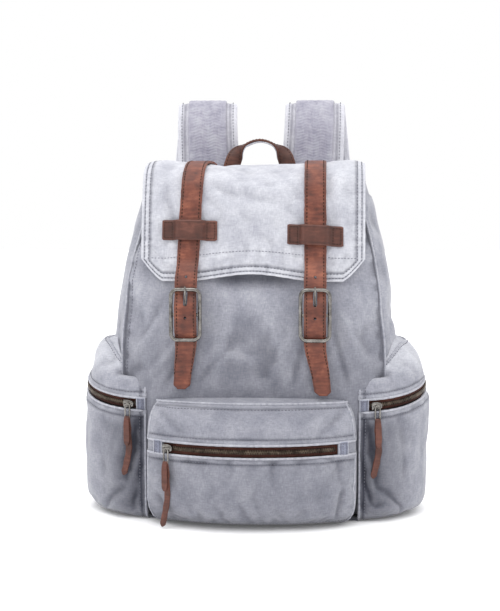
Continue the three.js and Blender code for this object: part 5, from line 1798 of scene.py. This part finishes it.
def add_strap_face(side, line, rows):
    """Broad herringbone webbing down the strap's outer side, and the stitches that hold it."""
    v = np.linspace(0.004, 0.996, rows * 3)
    normal = strap_normals(line, v)
    cols = 58
    u = np.linspace(-1, 1, cols)[None]
    half = lerp(46, 38, v)[:, None] / 2
    reach = (v * line.length)[:, None]
    edge = (1 - np.abs(u)) * half
    place = u * half
    rib = 0.22 * np.sin(2 * math.pi * (reach / 3.4 + 0.25 * np.abs(np.mod(place / 9, 2) - 1) * 4))
    level = 3.5 + 1.35 + rib * smooth(edge, 0.5, 2) - 0.8 * (1 - smooth(edge, 0, 1.4))
    points = line.at(v)[:, None] + normal[:, None] * level[..., None]
    points[..., 0] += place
    # rib tops paler as wear, and painted shade in the grooves between the ribs
    dots = np.clip(rib / 0.22, 0, 1) * 0.5
    shell("strap_face_" + side, points, 1.1, webbing_cotton, "strap_" + side, "cotton_webbing",
          ("shoulder_webbing_" + side,), wear=dots, shade=0.3 * (1 - dots),
          centre=points.mean((0, 1)) - normal[5] * WELL_BEHIND)
    lines = []
    w = np.linspace(0.01, 0.99, 500)
    out = strap_normals(line, w)
    for way in (-1, 1):
        for inset, height in ((3.2, 3.0), (lerp(35, 29, w) - lerp(23, 19, w) + 2.2, 5.0)):
            path = line.at(w) + out * height
            path[:, 0] += way * (lerp(35, 29, w) - inset)
            lines.append(stitch_parts(path, out, pitch=3.8))
    sewn("strap_stitches_" + side, lines, thread_grey, "strap_" + side, "strap_canvas")


def add_lower_strap(side, sideways, line):
    """A plain webbing tail from the pad's foot, through the slide, to the corner's leather."""
    start = line.at(1.0)
    end = np.array(LOWER_END, float) * (sideways, 1, 1)
    along = unit(end - start)
    length = np.linalg.norm(end - start)
    v = np.linspace(0, 1, 80)
    path = start + along * (5 + v[:, None] * (length - 8))
    wide = np.broadcast_to(unit(np.array((1, 0, 0)) - along * along[0]), path.shape)
    face = np.cross(wide, np.broadcast_to(along, path.shape))
    reach = v * length
    section = strip_section(25, 1.6, 0.7, 15)
    rib = 1 + 0.01 * np.sin(reach * 2 * math.pi / 2.4)
    corners, faces = sweep_corners(path, wide, face, section, rib)
    # paler rib crests as wear, and painted shade all along, more between the ribs
    tone = np.clip(0.3 + 0.3 * np.sin(reach * 2 * math.pi / 2.4), 0, 1)
    place_piece("lower_webbing_" + side, corners, faces, webbing_cotton, "strap_" + side,
                "cotton_webbing", ("lower_strap_" + side,),
                {"wear": np.repeat(tone, len(section)),
                 "hollow": np.repeat(0.3 - tone * 0.3, len(section))})
    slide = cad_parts["strap_adjuster_" + side]
    rounded = bpy.data.objects.new("strap_slide_" + side, slide.data.copy())
    bpy.context.scene.collection.objects.link(rounded)
    weld(rounded)
    bevel = rounded.modifiers.new("edges", "BEVEL")
    bevel.width, bevel.segments, bevel.limit_method = 0.55 * MM, 3, "ANGLE"
    rounded.data = bpy.data.meshes.new_from_object(
        rounded.evaluated_get(bpy.context.evaluated_depsgraph_get()))
    rounded.modifiers.clear()
    rounded.data.materials.clear()
    rounded.data.materials.append(nickel)
    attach(rounded, "adjuster_" + side)
    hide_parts("strap_adjuster_" + side)
    add_corner_leather(side, sideways)


def inside_outline(outline, steps_across, steps_up):
    """A grid that fills a convex outline given as x and z, left to right at each height."""
    outline = np.array(outline, float)
    low, high = outline[:, 1].min(), outline[:, 1].max()
    rows = []
    closed = np.vstack([outline, outline[:1]])
    for z in lerp(low, high, even_to_ends(steps_up, 0.6)):
        crossings = []
        level = min(max(z, low + 1e-3), high - 1e-3)
        for (x0, z0), (x1, z1) in zip(closed, closed[1:]):
            if (z0 - level) * (z1 - level) <= 0 and z0 != z1:
                crossings.append(lerp(x0, x1, (level - z0) / (z1 - z0)))
        across = lerp(min(crossings), max(crossings), even_to_ends(steps_across, 0.6))
        rows.append([(x, z) for x in across])
    return np.array(rows)


def add_corner_leather(side, sideways):
    """The leather corner that a shoulder strap's webbing is sewn to."""
    outline = [(-20, -12), (20, -12), (20, 0), (6, 24), (-12, 24)]
    grid = inside_outline(outline, 40, 40)
    x, z = grid[..., 0], grid[..., 1]
    u, v = np.linspace(0, 1, 40)[None], np.linspace(0, 1, 40)[:, None]
    edge = np.minimum(np.minimum(u, 1 - u) * 34, np.minimum(v, 1 - v) * 36)
    y = SACK_BACK + 2.8 - 0.7 * (1 - smooth(edge, 0, 1.6)) + 0.15 * ripple(x, z, size=14, seed=131)
    points = np.stack([sideways * CORNER_X + x * sideways, y, z + 22], axis=-1)
    shell("corner_leather_" + side, points, 1.8, brown_leather, "bag", "brown_leather",
          ("corner_tab_" + side,), wear=0.6 * (1 - smooth(edge, 0, 1.4)),
          centre=(sideways * CORNER_X, 0, 25))
    path_u = np.concatenate([np.linspace(0.1, 0.9, 30), np.full(30, 0.9), np.linspace(0.9, 0.1, 30),
                             np.full(30, 0.1)])
    path_v = np.concatenate([np.full(30, 0.1), np.linspace(0.1, 0.9, 30), np.full(30, 0.9),
                             np.linspace(0.9, 0.1, 30)])
    rows = [stitch_parts(*row_on(points, path_u, path_v, centre=(sideways * CORNER_X, 0, 25)), width=0.8)]
    sewn("corner_stitches_" + side, rows, thread_brown, "bag", "brown_leather")


def add_yoke():
    """A doubled canvas bar across the back, under the handle and the straps."""
    low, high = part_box("yoke")
    u, v = even_to_ends(120, 0.5)[None], even_to_ends(44, 0.5)[:, None]
    x = lerp(low.x, high.x, u) / MM + 0 * v
    z = lerp(low.z, high.z, v) / MM + 0 * u
    edge = np.minimum(np.minimum(x - low.x / MM, high.x / MM - x),
                      np.minimum(z - low.z / MM, high.z / MM - z))
    y = high.y / MM - SHIFT_Y - 0.5 * (1 - smooth(edge, 0.2, 1.6)) - 0.2 * bell(edge - 4, 0.9)
    y += 0.15 * ripple(x, z, size=20, seed=141)
    points = np.stack([x, y, z], axis=-1)
    shell("yoke_cloth", points, 1.9, canvas, "bag", "washed_canvas", ("yoke",), centre=(0, 0, 340),
          wear=0.7 * (1 - smooth(edge, 0.8, 2.4)), shade=0.4 * bell(edge - 4, 1))
    lines = []
    for inset in (4.0, 8.0):
        x0, x1 = low.x / MM + inset, high.x / MM - inset
        z0, z1 = low.z / MM + inset, high.z / MM - inset
        loop = [(x0, z0), (x1, z0), (x1, z1), (x0, z1), (x0, z0)]
        for (xa, za), (xb, zb) in zip(loop, loop[1:]):
            t = np.linspace(0, 1, 60)
            path = np.stack([lerp(xa, xb, t), 0 * t + high.y / MM - SHIFT_Y - 0.1,
                             lerp(za, zb, t)], axis=-1)
            lines.append(stitch_parts(path, np.broadcast_to((0, 1, 0), path.shape)))
    sewn("yoke_stitches", lines, thread_grey, "bag", "washed_canvas")


add_handle()
add_shoulder_strap("left", -1)
add_shoulder_strap("right", 1)
add_yoke()

# ---- The studio ----
def add_floor():
    """A pale painted floor, with the faintest unevenness in its paint."""
    mesh = bpy.data.meshes.new("floor")
    half = 6
    mesh.from_pydata([(-half, -half, 0), (half, -half, 0), (half, half, 0), (-half, half, 0)], [],
                     [(0, 1, 2, 3)])
    material, tree, shader, place = begin_material("pale_paint")
    tone = grain(tree, place, (3, 3, 3), 2.0)
    tree.links.new(ramp(tree, tone, (0.3, "#fcfcfd"), (0.7, "#ffffff")), shader.inputs["Base Color"])
    shader.inputs["Roughness"].default_value = 0.7
    shader.inputs["Specular IOR Level"].default_value = 0.1
    shader.inputs["Emission Color"].default_value = linear("#ffffff")
    shader.inputs["Emission Strength"].default_value = 0.06
    mesh.materials.append(material)
    floor = bpy.data.objects.new("floor", mesh)
    bpy.context.scene.collection.objects.link(floor)


def add_light(name, place, aim, size, power_watts, colour="#ffffff"):
    lamp = bpy.data.lights.new(name, "AREA")
    lamp.shape, lamp.size, lamp.size_y = "RECTANGLE", size[0], size[1]
    lamp.energy = power_watts
    lamp.color = linear(colour)[:3]
    holder = bpy.data.objects.new(name, lamp)
    holder.location = place
    holder.rotation_euler = (Vector(place) - Vector(aim)).to_track_quat("Z", "Y").to_euler()
    bpy.context.scene.collection.objects.link(holder)


def add_studio():
    world = bpy.data.worlds.new("studio")
    bpy.context.scene.world = world
    world.use_nodes = True
    tree = world.node_tree
    back = tree.nodes["Background"]
    up = add_node(tree, "SeparateXYZ", {0: add_node(tree, "TexCoord").outputs["Generated"]})
    glow = add_node(tree, "MapRange", {"Value": up.outputs["Z"], "From Min": 0.45, "From Max": 0.9,
                                       "To Min": 1.0, "To Max": 1.8})
    back.inputs["Color"].default_value = linear("#ffffff")
    tree.links.new(glow.outputs["Result"], back.inputs["Strength"])
    bpy.context.scene.view_settings.view_transform = "Standard"
    add_floor()
    add_light("overhead_softbox", (-0.25, -0.5, 1.6), (0, 0, 0.25), (1.3, 1.0), 7)
    add_light("left_softbox", (-1.4, -0.9, 0.7), (0, 0, 0.2), (0.9, 1.2), 2.5)
    add_light("right_softbox", (1.4, -0.5, 0.9), (0, 0, 0.2), (0.9, 1.2), 2.5)


add_studio()
